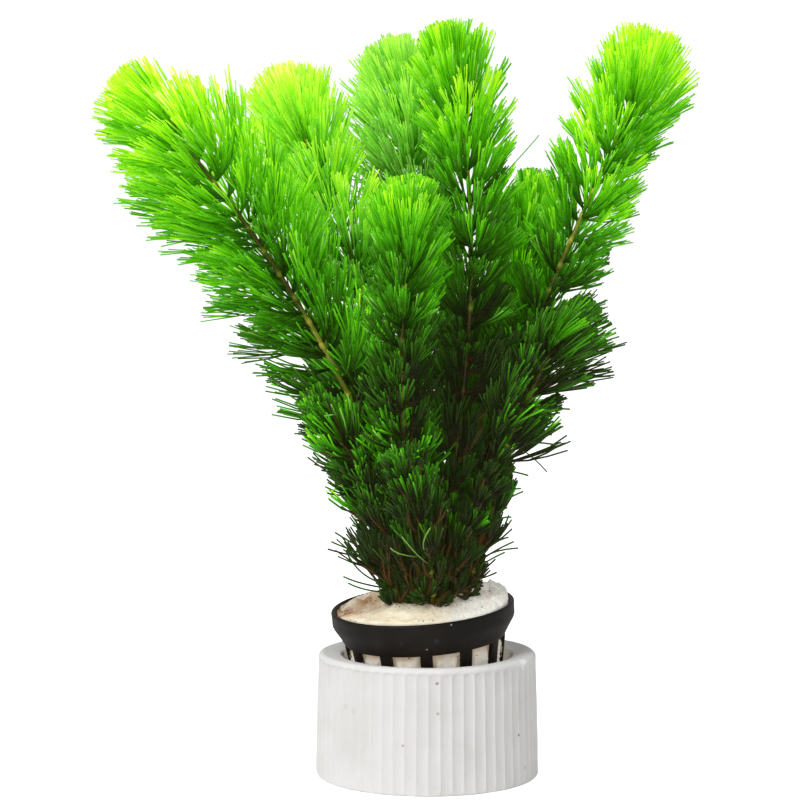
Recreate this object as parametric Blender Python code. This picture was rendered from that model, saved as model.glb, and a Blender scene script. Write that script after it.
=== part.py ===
"""A bunch of cabomba cuttings in a net pot that stands in a round, fluted clay holder.

Units are metres, +Z is up and -Y faces the viewer. The origin is the centre of the holder's underside.
The net pot leans in the holder, and its wool holds thirteen cut stems. Each stem ends in a closed growing
tip and carries whorls of leaves. A whorl is a lobed cup round its stem, as wide as the leaves reach.
"""

import math
import random
from collections.abc import Callable
from dataclasses import dataclass

import bmesh
import bpy
from mathutils import Euler, Matrix, Vector
from mathutils.geometry import interpolate_bezier

MM = 0.001
SEED = 7
GAP = 0.35 * MM
LENGTH_SLACK = 1e-9
PARALLEL_SPREAD = 1e-18

# Edges that turn more than this stay sharp
SHARP_TURN = math.radians(30)
HOLDER_SHARP_TURN = math.radians(35)
WOOL_SHARP_TURN = math.radians(50)

# The holder, a thick-walled cup with flutes that stop under a smooth lip
HOLDER_HEIGHT = 34.0 * MM
HOLDER_TOP_RADIUS = 30.1 * MM
HOLDER_FOOT_RADIUS = 30.8 * MM
HOLDER_HOLE_RADIUS = 23.4 * MM
HOLDER_FLOOR = 5.0 * MM
FLUTES = 60
FLUTE_DEPTH = 0.6 * MM
FLUTE_TOP = 32.2 * MM
FOOT_BEVEL = 0.9 * MM
LIP_ROUND = 1.4 * MM
LIP_STEP = 0.6 * MM
LIP_DISH = 0.6 * MM

# The net pot, given in its own frame, where z = 0 is its rim
NET_POT_RIM = Vector((-1.3, 0.0, 47.0)) * MM
LEAN_TO_VIEWER = math.radians(4.5)
LEAN_TO_LEFT = math.radians(4.3)
NET_POT_HEIGHT = 40.0 * MM
NET_POT_WALL = 1.2 * MM
RIM_RADIUS = 25.3 * MM
BAND_MIDDLE_RADIUS = 24.9 * MM
BAND_MIDDLE = 4.2 * MM
BAND_FOOT_RADIUS = 22.2 * MM
BAND_HEIGHT = 9.3 * MM
WINDOW_FOOT_RADIUS = 17.9 * MM
WINDOW_FOOT = 35.5 * MM
BASE_RADIUS = 17.4 * MM
BASE_THICKNESS = 1.5 * MM
RIBS = 12
RIB_SHARE = 0.29
WINDOW_COLUMNS = 2

# The wool, in the net pot's frame
WOOL_COLUMNS = 20
WOOL_RING_SHARES = (0.985, 0.75, 0.4)
WOOL_CROWN = 1.2 * MM
WOOL_BUMPS = ((15, 9, 1.8, 10), (-5, -15, 1.2, 8), (-20, 2, -2.2, 8))
SOCKET_DEPTH = 8.0 * MM
SOCKET_OVER = 3.0 * MM

# The stems
STALK_SIDES = 6
STALK_FOOT_RADIUS = 1.25 * MM
STALK_TIP_RADIUS = 0.8 * MM
STALK_PIECES = 12
STALK_RING_STEP = 15.0 * MM
CURVE_POINTS = 160

# The whorls and the growing tips
WHORL_LOCKS = 6
TIP_LOCKS = STALK_SIDES
TIP_BELOW = 10.0 * MM
TIP_ROOT_BELOW = 3.0 * MM
TIP_CORE_SHARE = 0.4
TIP_DOME = ((0.12, -0.52), (0.5, -0.25), (1.0, 0.28), (0.7, 0.8))
TIP_SUMMIT = 0.96
TIP_ROOM = 7.0 * MM
NOTCH_SHARE = 0.74
REACH_SPREAD = 0.07
TIER_SHARE = 0.72
LEAST_WALL = 1.0 * MM
DISH_AT = 0.6
DISH_SHARE = 0.85
TERRITORY_GAP = 0.4 * MM

# Near the wool the bunch is tight: leaves there reach less far and stand steeper
TIGHT_BELOW = 82.0 * MM
TIGHT_FROM = 50.0 * MM
TIGHT_REACH = 0.55
TIGHT_RISE = 1.25


@dataclass(frozen=True)
class StemPlan:
    """One cutting: where it enters the wool, two handles, its tip, and the leaves that it carries.

    foot is in the net pot's frame, on the wool. The handles and the tip are in the world's frame. All are mm.
    spacings holds the distance from each whorl down to the next, with one entry for each whorl.
    """

    name: str
    foot: tuple[float, float]
    low_handle: tuple[float, float, float]
    high_handle: tuple[float, float, float]
    tip: tuple[float, float, float]
    tip_reach: float
    reach: float
    rise: float
    spacings: tuple[float, ...]


STEMS = (
    StemPlan("tall_left", (-2.5, -2.0), (-6, -4, 87), (-39, -13, 143), (-71, -9, 179),
             18, 25, 12, (14, 16, 18, 20, 20)),
    StemPlan("tall_back_left", (-1.5, 2.5), (0, 8, 87), (-18, 20, 137), (-36, 26, 180),
             19, 22, 15, (15, 18, 21, 23)),
    StemPlan("tall_back", (3.0, 5.0), (3, 14, 92), (-1, 32, 142), (-7, 39, 190),
             19, 22, 16, (16, 20, 24, 26)),
    StemPlan("tall_centre", (3.0, -3.0), (9, -5, 92), (17, -9, 147), (7, -5, 189),
             18, 21, 15, (14, 17, 20, 20, 20, 20)),
    StemPlan("tall_right", (8.0, 0.0), (13, 0, 87), (36, 5, 142), (58, 6, 187),
             18, 22, 13, (14, 16, 19, 21, 21)),
    StemPlan("middle_front", (-1.0, -7.0), (-6, -15, 77), (-9, -25, 117), (-5, -23, 150),
             14, 18, 13, (13, 16, 18, 18)),
    StemPlan("middle_back_right", (7.5, 4.5), (11, 11, 77), (22, 20, 117), (29, 24, 153),
             16, 19, 14, (14, 18)),
    StemPlan("middle_right", (7.5, -4.5), (10, -9, 72), (24, -17, 97), (33, -19, 119),
             13, 16, 11, (12, 15, 17)),
    StemPlan("low_left", (-7.0, -5.0), (-8, -10, 68), (-17, -14, 86), (-27, -15, 98),
             12, 18, 11, (11, 11, 11)),
    StemPlan("low_front", (2.5, -8.5), (2, -15, 62), (-3, -22, 74), (-7, -26, 84),
             11, 15, 11, (11, 12)),
    StemPlan("low_right", (12.0, -2.5), (15, -3, 64), (18, -4, 75), (21, -4, 84),
             9, 12, 10, (10, 12)),
    StemPlan("low_back_left", (-6.0, 2.0), (-9, 10, 67), (-20, 19, 92), (-27, 25, 112),
             14, 18, 13, (13, 17)),
    StemPlan("low_back", (3.5, 9.5), (8, 18, 72), (15, 30, 100), (19, 36, 124),
             14, 18, 13, (14, 18)),
)

# Colours as linear red, green and blue, and roughnesses
CLAY_WHITE = (0.83, 0.82, 0.80)
CLAY_ROUGHNESS = 0.85
POT_BLACK = (0.022, 0.018, 0.014)
POT_ROUGHNESS = 0.5
WOOL_CREAM = (0.83, 0.78, 0.66)
WOOL_ROUGHNESS = 0.95
LEAF_ROUGHNESS = 0.5
LEAF_BRIGHT = (0.20, 0.72, 0.01)
LEAF_MIDDLE = (0.05, 0.40, 0.008)
LEAF_DARK = (0.012, 0.12, 0.006)
BRIGHT_ABOVE = 150.0 * MM
DARK_BELOW = 112.0 * MM


class StemPath:
    """A stem's centre line, with its length and a frame that turns no more than the line does."""

    def __init__(self, plan: StemPlan, net_pot: Matrix) -> None:
        x, y = plan.foot[0] * MM, plan.foot[1] * MM
        foot = net_pot @ Vector((x, y, wool_height(x, y)))
        handles = [Vector(point) * MM for point in (plan.low_handle, plan.high_handle, plan.tip)]
        self.plan = plan
        self.buried_end = net_pot @ Vector((x, y, wool_height(x, y) - SOCKET_DEPTH))
        self.points = interpolate_bezier(foot, *handles, CURVE_POINTS)
        self.lengths = [0.0]
        for before, after in zip(self.points, self.points[1:]):
            self.lengths.append(self.lengths[-1] + (after - before).length)
        self.length = self.lengths[-1]
        self.sides = self._carried_sides()

    def _carried_sides(self) -> list[Vector]:
        """One direction square to the line, carried along it without twist."""
        side = Vector((1, 0, 0))
        sides = []
        for index in range(len(self.points)):
            direction = self._direction(index)
            side = (side - direction * side.dot(direction)).normalized()
            sides.append(side.copy())
        return sides

    def _direction(self, index: int) -> Vector:
        low = max(index - 1, 0)
        high = min(index + 1, len(self.points) - 1)
        return (self.points[high] - self.points[low]).normalized()

    def frame(self, distance: float) -> Matrix:
        """The frame at a distance along the stem, z along it. Past either end the line runs on straight."""
        inside = min(max(distance, 0.0), self.length)
        index = next(i for i, length in enumerate(self.lengths) if length >= inside - LENGTH_SLACK)
        direction = self._direction(index)
        place = self.points[index] + direction * (distance - self.lengths[index])
        side = self.sides[index]
        columns = (side, direction.cross(side), direction, place)
        return Matrix([[column[row] for column in columns] for row in range(3)] + [[0, 0, 0, 1]])

    def buried_frame(self) -> Matrix:
        """The frame at the cut end in the wool, where the stem stands upright."""
        frame = self.frame(0.0)
        frame.translation = self.buried_end
        return frame

    def stalk_radius(self, distance: float) -> float:
        share = clamped(distance / self.length)
        return STALK_FOOT_RADIUS + (STALK_TIP_RADIUS - STALK_FOOT_RADIUS) * share

    def segments(self, start: float, end: float, count: int) -> list[tuple[Vector, Vector]]:
        """The line between two distances, as straight pieces."""
        stops = [start + (end - start) * step / count for step in range(count + 1)]
        places = [self.frame(stop).translation for stop in stops]
        return list(zip(places, places[1:]))


@dataclass(frozen=True)
class Tuft:
    """The leaves at one place on a stem: a straight core along the stem, and how far they reach from it."""

    path: StemPath
    core: tuple[Vector, Vector]
    reach: float


@dataclass(frozen=True)
class Whorl:
    """Leaves at one node of a stem: its distance along it, how far up they rise and how deep the tier is."""

    distance: float
    rise: float
    depth: float
    tuft: Tuft


@dataclass(frozen=True)
class Border:
    """A plane that a tuft stays behind."""

    place: Vector
    outward: Vector

    def share_kept(self, start: Vector, end: Vector) -> float:
        """How much of the way from start to end lies behind the plane, at most 1."""
        run = (end - start).dot(self.outward)
        room = (self.place - start).dot(self.outward)
        return 1.0 if run <= room else max(room / run, 0.0)


def clear_scene() -> None:
    for thing in list(bpy.data.objects):
        bpy.data.objects.remove(thing, do_unlink=True)


def finish(name: str, colour: tuple[float, float, float], roughness: float) -> bpy.types.Material:
    """A plain non-metal surface."""
    made = bpy.data.materials.new(name)
    made.use_nodes = True
    shader = made.node_tree.nodes["Principled BSDF"]
    shader.inputs["Base Color"].default_value = (*colour, 1.0)
    shader.inputs["Roughness"].default_value = roughness
    shader.inputs["Metallic"].default_value = 0.0
    return made


def add_object(name: str, shape: bmesh.types.BMesh, surface: bpy.types.Material, sharp_angle: float,
               place: Matrix, parent: bpy.types.Object | None = None) -> bpy.types.Object:
    """Puts the shape, given in its own frame, into the scene at its place."""
    bmesh.ops.recalc_face_normals(shape, faces=shape.faces)
    mesh = bpy.data.meshes.new(name)
    shape.to_mesh(mesh)
    shape.free()
    mesh.materials.append(surface)
    mesh.shade_smooth()
    mesh.set_sharp_from_angle(angle=sharp_angle)
    made = bpy.data.objects.new(name, mesh)
    bpy.context.scene.collection.objects.link(made)
    made.parent = parent
    made.matrix_basis = parent.matrix_basis.inverted() @ place if parent else place
    return made


def add_ring(shape: bmesh.types.BMesh, count: int,
             place_of: Callable[[int], Vector]) -> list[bmesh.types.BMVert]:
    """A ring of points, where place_of gives the place of the point at each index."""
    return [shape.verts.new(place_of(index)) for index in range(count)]


def round_ring(shape: bmesh.types.BMesh, count: int, radius: float,
               height: float) -> list[bmesh.types.BMVert]:
    return add_ring(shape, count, lambda index: polar(radius, math.tau * index / count, height))


def polar(radius: float, angle: float, height: float) -> Vector:
    return Vector((radius * math.cos(angle), radius * math.sin(angle), height))


def bridge(shape: bmesh.types.BMesh, first: list, second: list) -> None:
    """Joins two rings by faces. The second may have as many points as the first, or twice or half as many."""
    if len(first) == len(second):
        for index in range(len(first)):
            shape.faces.new((first[index - 1], first[index], second[index], second[index - 1]))
        return
    coarse, fine = sorted((first, second), key=len)
    for index in range(len(coarse)):
        after = (index + 1) % len(coarse)
        middle = fine[2 * index + 1]
        shape.faces.new((coarse[index], fine[2 * index], middle))
        shape.faces.new((coarse[index], middle, coarse[after]))
        shape.faces.new((coarse[after], middle, fine[2 * after]))


def stack(shape: bmesh.types.BMesh, rings: list) -> None:
    for lower, upper in zip(rings, rings[1:]):
        bridge(shape, lower, upper)


def build_holder(clay: bpy.types.Material) -> None:
    """A turned cup. Every second point of its wall sits in the valley between two flutes."""
    shape = bmesh.new()
    half_flutes = 2 * FLUTES
    coarse = FLUTES // 2

    def fluted(radius: float, height: float) -> list:
        depths = (0.0, FLUTE_DEPTH)
        return add_ring(shape, half_flutes,
                        lambda i: polar(radius - depths[i % 2], math.tau * i / half_flutes, height))

    rings = [
        round_ring(shape, FLUTES, HOLDER_FOOT_RADIUS - FLUTE_DEPTH - FOOT_BEVEL, 0.0),
        fluted(HOLDER_FOOT_RADIUS, FOOT_BEVEL),
        fluted(HOLDER_TOP_RADIUS, FLUTE_TOP),
        round_ring(shape, FLUTES, HOLDER_TOP_RADIUS, FLUTE_TOP + LIP_STEP),
        round_ring(shape, FLUTES, HOLDER_TOP_RADIUS - LIP_ROUND, HOLDER_HEIGHT),
        round_ring(shape, coarse, HOLDER_HOLE_RADIUS, HOLDER_HEIGHT - LIP_DISH),
        round_ring(shape, coarse, HOLDER_HOLE_RADIUS, HOLDER_FLOOR),
    ]
    stack(shape, rings)
    shape.faces.new(rings[0])
    shape.faces.new(rings[-1])
    add_object("holder", shape, clay, HOLDER_SHARP_TURN, Matrix.Identity(4))


def net_pot_place() -> Matrix:
    """From the net pot's frame to the world's: its rim's centre, and its lean to the viewer and the left."""
    turn = Euler((LEAN_TO_VIEWER, -LEAN_TO_LEFT, 0.0)).to_matrix().to_4x4()
    return Matrix.Translation(NET_POT_RIM) @ turn


def rib_angles() -> list[float]:
    """The angles round the net pot: for each rib its two edges, then the points across the window."""
    pitch = math.tau / RIBS
    half_rib = pitch * RIB_SHARE / 2
    across = (pitch - 2 * half_rib) / WINDOW_COLUMNS
    front = -math.pi / 2
    angles = []
    for rib in range(RIBS):
        start = front + rib * pitch - half_rib
        angles.append(start)
        angles += [start + 2 * half_rib + across * step for step in range(WINDOW_COLUMNS)]
    return angles


def build_net_pot(plastic: bpy.types.Material, place: Matrix) -> bpy.types.Object:
    """A turned basket with an inner and an outer wall, open where a window crosses both."""
    outer = [(RIM_RADIUS, 0.0), (BAND_MIDDLE_RADIUS, -BAND_MIDDLE), (BAND_FOOT_RADIUS, -BAND_HEIGHT),
             (WINDOW_FOOT_RADIUS, -WINDOW_FOOT), (BASE_RADIUS, -NET_POT_HEIGHT)]
    inner = [(radius - NET_POT_WALL, height) for radius, height in outer[:-1]]
    inner.append((BASE_RADIUS - NET_POT_WALL, BASE_THICKNESS - NET_POT_HEIGHT))
    angles = rib_angles()
    count = len(angles)
    band_foot, window_foot = 2, 3
    shape = bmesh.new()
    outside = [add_ring(shape, count, lambda i: polar(radius, angles[i], height)) for radius, height in outer]
    inside = [add_ring(shape, count, lambda i: polar(radius, angles[i], height)) for radius, height in inner]

    def is_open(level: int, column: int) -> bool:
        return level == band_foot and column % (WINDOW_COLUMNS + 1) != 0

    for column in range(count):
        after = (column + 1) % count
        shape.faces.new((outside[0][column], outside[0][after], inside[0][after], inside[0][column]))
        for level in range(len(outer) - 1):
            if is_open(level, column):
                for edge in (band_foot, window_foot):
                    shape.faces.new((outside[edge][column], outside[edge][after],
                                     inside[edge][after], inside[edge][column]))
                continue
            for wall in (outside, inside):
                shape.faces.new((wall[level][column], wall[level][after],
                                 wall[level + 1][after], wall[level + 1][column]))
            if level == band_foot:
                for side in (column, after):
                    shape.faces.new((outside[level][side], outside[level + 1][side],
                                     inside[level + 1][side], inside[level][side]))
    shape.faces.new(outside[-1])
    shape.faces.new(inside[-1])
    return add_object("net_pot", shape, plastic, SHARP_TURN, place)


def wool_height(x: float, y: float) -> float:
    """The wool's top over the rim's plane: a soft crown, proud at the back right, low at the left edge.

    Each bump is its place, its height and its width, in mm.
    """
    height = WOOL_CROWN * (1.0 - (math.hypot(x, y) / RIM_RADIUS) ** 2)
    for at_x, at_y, rise, width in WOOL_BUMPS:
        far = math.hypot(x - at_x * MM, y - at_y * MM)
        height += rise * MM * math.exp(-(far / (width * MM)) ** 2)
    return height


def build_wool(fibre: bpy.types.Material, net_pot: bpy.types.Object, place: Matrix) -> bpy.types.Object:
    """A plug that follows the net pot's inner wall. Its top is a sheet of rings over wool_height."""
    clear = NET_POT_WALL + GAP
    shape = bmesh.new()
    rings = [
        round_ring(shape, WOOL_COLUMNS, BASE_RADIUS - clear, BASE_THICKNESS + GAP - NET_POT_HEIGHT),
        round_ring(shape, WOOL_COLUMNS, WINDOW_FOOT_RADIUS - clear, -WINDOW_FOOT),
        round_ring(shape, WOOL_COLUMNS, BAND_FOOT_RADIUS - clear, -BAND_HEIGHT),
        round_ring(shape, WOOL_COLUMNS, BAND_MIDDLE_RADIUS - clear, -BAND_MIDDLE),
    ]
    for share in WOOL_RING_SHARES:
        radius = (RIM_RADIUS - clear) * share

        def on_top(index: int, radius: float = radius) -> Vector:
            flat = polar(radius, math.tau * index / WOOL_COLUMNS, 0.0)
            return flat + Vector((0, 0, wool_height(flat.x, flat.y)))

        rings.append(add_ring(shape, WOOL_COLUMNS, on_top))
    stack(shape, rings)
    shape.faces.new(rings[0])
    middle = shape.verts.new((0, 0, wool_height(0, 0)))
    for index in range(WOOL_COLUMNS):
        shape.faces.new((rings[-1][index - 1], rings[-1][index], middle))
    return add_object("wool", shape, fibre, WOOL_SHARP_TURN, place, net_pot)


def cut_sockets(wool: bpy.types.Object, paths: list[StemPath]) -> None:
    """Takes a close round pocket out of the wool for the foot of each stem."""
    shape = bmesh.new()
    for path in paths:
        radius = STALK_FOOT_RADIUS + GAP
        bottom = path.buried_frame() @ Matrix.Translation((0, 0, -GAP))
        rings = []
        for frame in (bottom, path.frame(0.0), path.frame(SOCKET_OVER)):
            rings.append(add_ring(shape, STALK_SIDES,
                                  lambda i: frame @ polar(radius, math.tau * i / STALK_SIDES, 0.0)))
        stack(shape, rings)
        shape.faces.new(rings[0])
        shape.faces.new(rings[-1])
    bmesh.ops.recalc_face_normals(shape, faces=shape.faces)
    mesh = bpy.data.meshes.new("stem_sockets")
    shape.to_mesh(mesh)
    shape.free()
    cutter = bpy.data.objects.new("stem_sockets", mesh)
    bpy.context.scene.collection.objects.link(cutter)
    cutter.hide_render = True
    cutter.display_type = "WIRE"
    cut = wool.modifiers.new("stem sockets", "BOOLEAN")
    cut.operation = "DIFFERENCE"
    cut.solver = "EXACT"
    cut.object = cutter


def clamped(share: float) -> float:
    return min(max(share, 0.0), 1.0)


def closest_between(first: tuple[Vector, Vector], second: tuple[Vector, Vector]) -> tuple[Vector, Vector]:
    """The closest points of two straight pieces: those of their whole lines, slid back onto the pieces."""
    run, other_run = first[1] - first[0], second[1] - second[0]
    apart = first[0] - second[0]
    both = run.dot(other_run)
    spread = run.length_squared * other_run.length_squared - both * both
    along = 0.5
    if spread > PARALLEL_SPREAD:
        along = clamped((both * other_run.dot(apart) - run.dot(apart) * other_run.length_squared) / spread)
    across = clamped((first[0] + run * along - second[0]).dot(other_run) / other_run.length_squared)
    along = clamped((second[0] + other_run * across - first[0]).dot(run) / run.length_squared)
    return first[0] + run * along, second[0] + other_run * across


def borders_of(tuft: Tuft, tufts: list[Tuft], paths: list[StemPath]) -> list[Border]:
    """The planes that keep a tuft clear of every other stem's tufts and of every other stalk.

    Between two tufts the plane crosses the shortest line between their cores, nearer to the smaller one.
    At a stalk it lies a gap short of the stalk's surface.
    """
    borders = []
    for other in tufts:
        if other.path is tuft.path:
            continue
        here, there = closest_between(tuft.core, other.core)
        between = there - here
        if between.length > tuft.reach + other.reach + TIP_BELOW:
            continue
        outward = between.normalized()
        share = tuft.reach / (tuft.reach + other.reach)
        borders.append(Border(here + between * share - outward * TERRITORY_GAP, outward))
    for path in paths:
        if path is tuft.path:
            continue
        for piece in path.segments(0.0, path.length - TIP_BELOW, STALK_PIECES):
            here, there = closest_between(tuft.core, piece)
            between = there - here
            if between.length > tuft.reach + TIP_BELOW:
                continue
            outward = between.normalized()
            borders.append(Border(there - outward * (STALK_FOOT_RADIUS + 2 * TERRITORY_GAP), outward))
    return borders


def kept_share(root: Vector, points: list[Vector], borders: list[Border]) -> float:
    """How much of the way from the root every one of these points may go."""
    return min((border.share_kept(root, point) for border in borders for point in points), default=1.0)


def lock_reaches(locks: int, shuffle: random.Random) -> list[float]:
    """How far each column of a tuft reaches, as a share: a lock's tip, then the notch beside it."""
    reaches = []
    for _ in range(locks):
        reaches.append(1.0 - REACH_SPREAD * shuffle.random())
        reaches.append(NOTCH_SHARE + REACH_SPREAD * shuffle.random())
    return reaches


def tightness(height: float) -> float:
    """How tight the bunch is at a height: 1 at the wool, falling to 0."""
    return clamped((TIGHT_BELOW - height) / (TIGHT_BELOW - TIGHT_FROM))


def whorls_of(path: StemPath) -> list[Whorl]:
    """The stem's whorls from the top down. Each fills most of the room below the one over it."""
    found = []
    distance = path.length - TIP_BELOW - TIP_ROOM
    room = TIP_ROOM
    for spacing in path.plan.spacings:
        place = path.frame(distance).translation
        tight = tightness(place.z)
        reach = path.plan.reach * MM * (1.0 + (TIGHT_REACH - 1.0) * tight)
        rise = path.plan.rise * MM * (1.0 + (TIGHT_RISE - 1.0) * tight)
        depth = TIER_SHARE * room
        core = (place, path.frame(distance + depth).translation)
        found.append(Whorl(distance, rise, depth, Tuft(path, core, reach)))
        distance -= spacing * MM
        room = spacing * MM
    return found


def tip_tuft(path: StemPath) -> Tuft:
    reach = path.plan.tip_reach * MM
    neck = path.frame(path.length - TIP_BELOW).translation
    return Tuft(path, (neck, path.frame(path.length + TIP_CORE_SHARE * reach).translation), reach)


def leaf_finish(height: float, greens: dict[str, bpy.types.Material]) -> bpy.types.Material:
    if height > BRIGHT_ABOVE:
        return greens["bright"]
    return greens["dark"] if height < DARK_BELOW else greens["middle"]


def build_whorl(name: str, whorl: Whorl, borders: list[Border], shuffle: random.Random,
                greens: dict[str, bpy.types.Material], parent: bpy.types.Object) -> None:
    """A lobed cup round the stalk: its under side rises straight to the tips, its upper side is dished."""
    tuft = whorl.tuft
    frame = tuft.path.frame(whorl.distance)
    home = frame.inverted()
    top = home @ tuft.path.frame(whorl.distance + whorl.depth)
    reaches = lock_reaches(WHORL_LOCKS, shuffle)
    turn = shuffle.random() * math.tau
    hole = tuft.path.stalk_radius(whorl.distance) / math.cos(math.pi / len(reaches)) + GAP
    profile = ((1.0, whorl.rise), (DISH_AT, DISH_AT * whorl.rise + DISH_SHARE * whorl.depth))
    shape = bmesh.new()
    rings = [[], [], [], []]
    for column, share in enumerate(reaches):
        angle = turn + math.tau * column / len(reaches)
        full = [frame @ (polar(tuft.reach * across, angle, up) * share) for across, up in profile]
        kept = share * kept_share(frame.translation, full, borders)
        tip, middle = [polar(max(tuft.reach * across * kept, hole + LEAST_WALL * across), angle, up * kept)
                       for across, up in profile]
        hole_edge = polar(hole, angle, 0.0)
        for ring, place in zip(rings, (hole_edge, tip, middle, top @ hole_edge)):
            ring.append(shape.verts.new(place))
    stack(shape, rings + [rings[0]])
    middle_height = (frame @ Vector((0, 0, whorl.rise / 2))).z
    add_object(name, shape, leaf_finish(middle_height, greens), SHARP_TURN, frame, parent)


def stalk_stops(path: StemPath, whorls: list[Whorl]) -> list[float]:
    """Where the stalk has a ring: at its ends, at both ends of each whorl's hole and along each bare run."""
    fixed = [0.0, path.length - TIP_BELOW]
    for whorl in whorls:
        fixed += [whorl.distance, whorl.distance + whorl.depth]
    fixed.sort()
    stops = fixed[:1]
    for start, end in zip(fixed, fixed[1:]):
        steps = math.ceil((end - start) / STALK_RING_STEP)
        stops += [start + (end - start) * step / steps for step in range(1, steps + 1)]
    return stops


def build_stem(path: StemPath, whorls: list[Whorl], borders: list[Border], shuffle: random.Random,
               greens: dict[str, bpy.types.Material]) -> bpy.types.Object:
    """The stalk, widening at its top into the closed growing tip: a lobed dome of young leaves."""
    origin = Matrix.Translation(path.frame(0.0).translation)
    home = origin.inverted()
    shape = bmesh.new()
    rings = []
    stations = [(path.buried_frame(), STALK_FOOT_RADIUS)]
    stations += [(path.frame(stop), path.stalk_radius(stop)) for stop in stalk_stops(path, whorls)]
    for frame, radius in stations:
        rings.append(add_ring(shape, STALK_SIDES,
                              lambda i: home @ frame @ polar(radius, math.tau * i / STALK_SIDES, 0.0)))
    shape.faces.new(rings[0])

    reach = path.plan.tip_reach * MM
    root = path.frame(path.length - TIP_ROOT_BELOW).translation
    frame = path.frame(path.length)
    reaches = lock_reaches(TIP_LOCKS, shuffle)
    even = [1.0] * len(reaches)
    half_turned = reaches[1:] + reaches[:1]
    for (across, up), shares in zip(TIP_DOME, (even, even, reaches, half_turned)):
        ring = []
        for column, share in enumerate(shares):
            full = frame @ polar(reach * across * share, math.tau * column / len(shares), reach * up)
            kept = kept_share(root, [full], borders)
            ring.append(shape.verts.new(home @ root.lerp(full, kept)))
        rings.append(ring)
    stack(shape, rings)
    summit = shape.verts.new(home @ frame @ Vector((0, 0, TIP_SUMMIT * reach)))
    for column in range(len(reaches)):
        shape.faces.new((rings[-1][column - 1], rings[-1][column], summit))
    surface = leaf_finish(frame.translation.z, greens)
    return add_object(path.plan.name + "_stem", shape, surface, SHARP_TURN, origin)


def main() -> None:
    clear_scene()
    shuffle = random.Random(SEED)
    greens = {
        "bright": finish("leaves_bright", LEAF_BRIGHT, LEAF_ROUGHNESS),
        "middle": finish("leaves_middle", LEAF_MIDDLE, LEAF_ROUGHNESS),
        "dark": finish("leaves_dark", LEAF_DARK, LEAF_ROUGHNESS),
    }
    build_holder(finish("clay", CLAY_WHITE, CLAY_ROUGHNESS))
    place = net_pot_place()
    net_pot = build_net_pot(finish("pot_plastic", POT_BLACK, POT_ROUGHNESS), place)
    wool = build_wool(finish("wool", WOOL_CREAM, WOOL_ROUGHNESS), net_pot, place)
    paths = [StemPath(plan, place) for plan in STEMS]
    cut_sockets(wool, paths)
    whorls = {path.plan.name: whorls_of(path) for path in paths}
    tufts = [tip_tuft(path) for path in paths]
    tufts += [whorl.tuft for found in whorls.values() for whorl in found]
    for path in paths:
        carried = whorls[path.plan.name]
        stem = build_stem(path, carried, borders_of(tip_tuft(path), tufts, paths), shuffle, greens)
        for number, whorl in enumerate(carried, start=1):
            name = f"{path.plan.name}_whorl_{number}"
            build_whorl(name, whorl, borders_of(whorl.tuft, tufts, paths), shuffle, greens, stem)


main()
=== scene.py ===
"""Looks for a bunch of cabomba cuttings in a net pot that stands in a round, fluted clay holder.

Units are metres, +Z is up and -Y faces the viewer. The origin is the centre of the holder's underside.
Every shape is worked out as whole arrays: turned pieces are a profile carried round an axis, and leaves are
fans of thin three-sided threads that fork three or four times between the stem and their tips.
"""

import logging
import math
from dataclasses import dataclass, field, fields
from enum import Enum

import bpy
import numpy as np
from mathutils import Euler, Matrix, Vector


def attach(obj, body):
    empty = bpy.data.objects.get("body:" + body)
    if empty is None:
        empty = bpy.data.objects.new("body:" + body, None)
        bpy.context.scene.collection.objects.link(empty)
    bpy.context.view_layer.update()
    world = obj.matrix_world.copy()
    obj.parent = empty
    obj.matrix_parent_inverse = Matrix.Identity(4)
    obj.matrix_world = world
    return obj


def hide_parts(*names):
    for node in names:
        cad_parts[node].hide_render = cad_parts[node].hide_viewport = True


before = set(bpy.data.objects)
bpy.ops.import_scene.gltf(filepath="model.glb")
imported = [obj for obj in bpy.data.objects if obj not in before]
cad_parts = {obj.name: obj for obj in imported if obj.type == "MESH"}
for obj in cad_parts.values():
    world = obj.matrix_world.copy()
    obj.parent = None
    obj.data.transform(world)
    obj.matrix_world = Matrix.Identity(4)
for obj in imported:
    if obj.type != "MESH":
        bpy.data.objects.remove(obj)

LOG = logging.getLogger("cabomba")
Array = np.ndarray
Colour = tuple[float, float, float]
MM = 0.001
TURN = 2.0 * math.pi
FRONT = -math.pi / 2
BODY = "root"
BAKE_MAP = "OFBake"
BAKE_CELL = 0.004

# The net pot's frame: z = 0 is its rim, which leans to the viewer and to the left
NET_POT_RIM = Vector((-1.3, 0.0, 47.0)) * MM
LEAN_TO_VIEWER = math.radians(4.5)
LEAN_TO_LEFT = math.radians(4.3)
RIM_RADIUS = 25.3 * MM
BAND_MIDDLE_RADIUS = 24.9 * MM
BAND_MIDDLE = 4.2 * MM
BAND_FOOT_RADIUS = 22.2 * MM
BAND_HEIGHT = 9.3 * MM
WINDOW_FOOT_RADIUS = 17.9 * MM
WINDOW_FOOT = 35.5 * MM
BASE_RADIUS = 17.4 * MM
NET_POT_HEIGHT = 40.0 * MM
NET_POT_WALL = 1.2 * MM
BASE_THICKNESS = 1.5 * MM
GAP = 0.35 * MM
RIBS = 12
RIB_SHARE = 0.29
WOOL_CROWN = 1.2 * MM
# Each bump's place, height and width in mm
WOOL_BUMPS = ((15, 9, 1.8, 10), (-5, -15, 1.2, 8), (-20, 2, -2.2, 8))
SOCKET_DEPTH = 8.0 * MM

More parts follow.
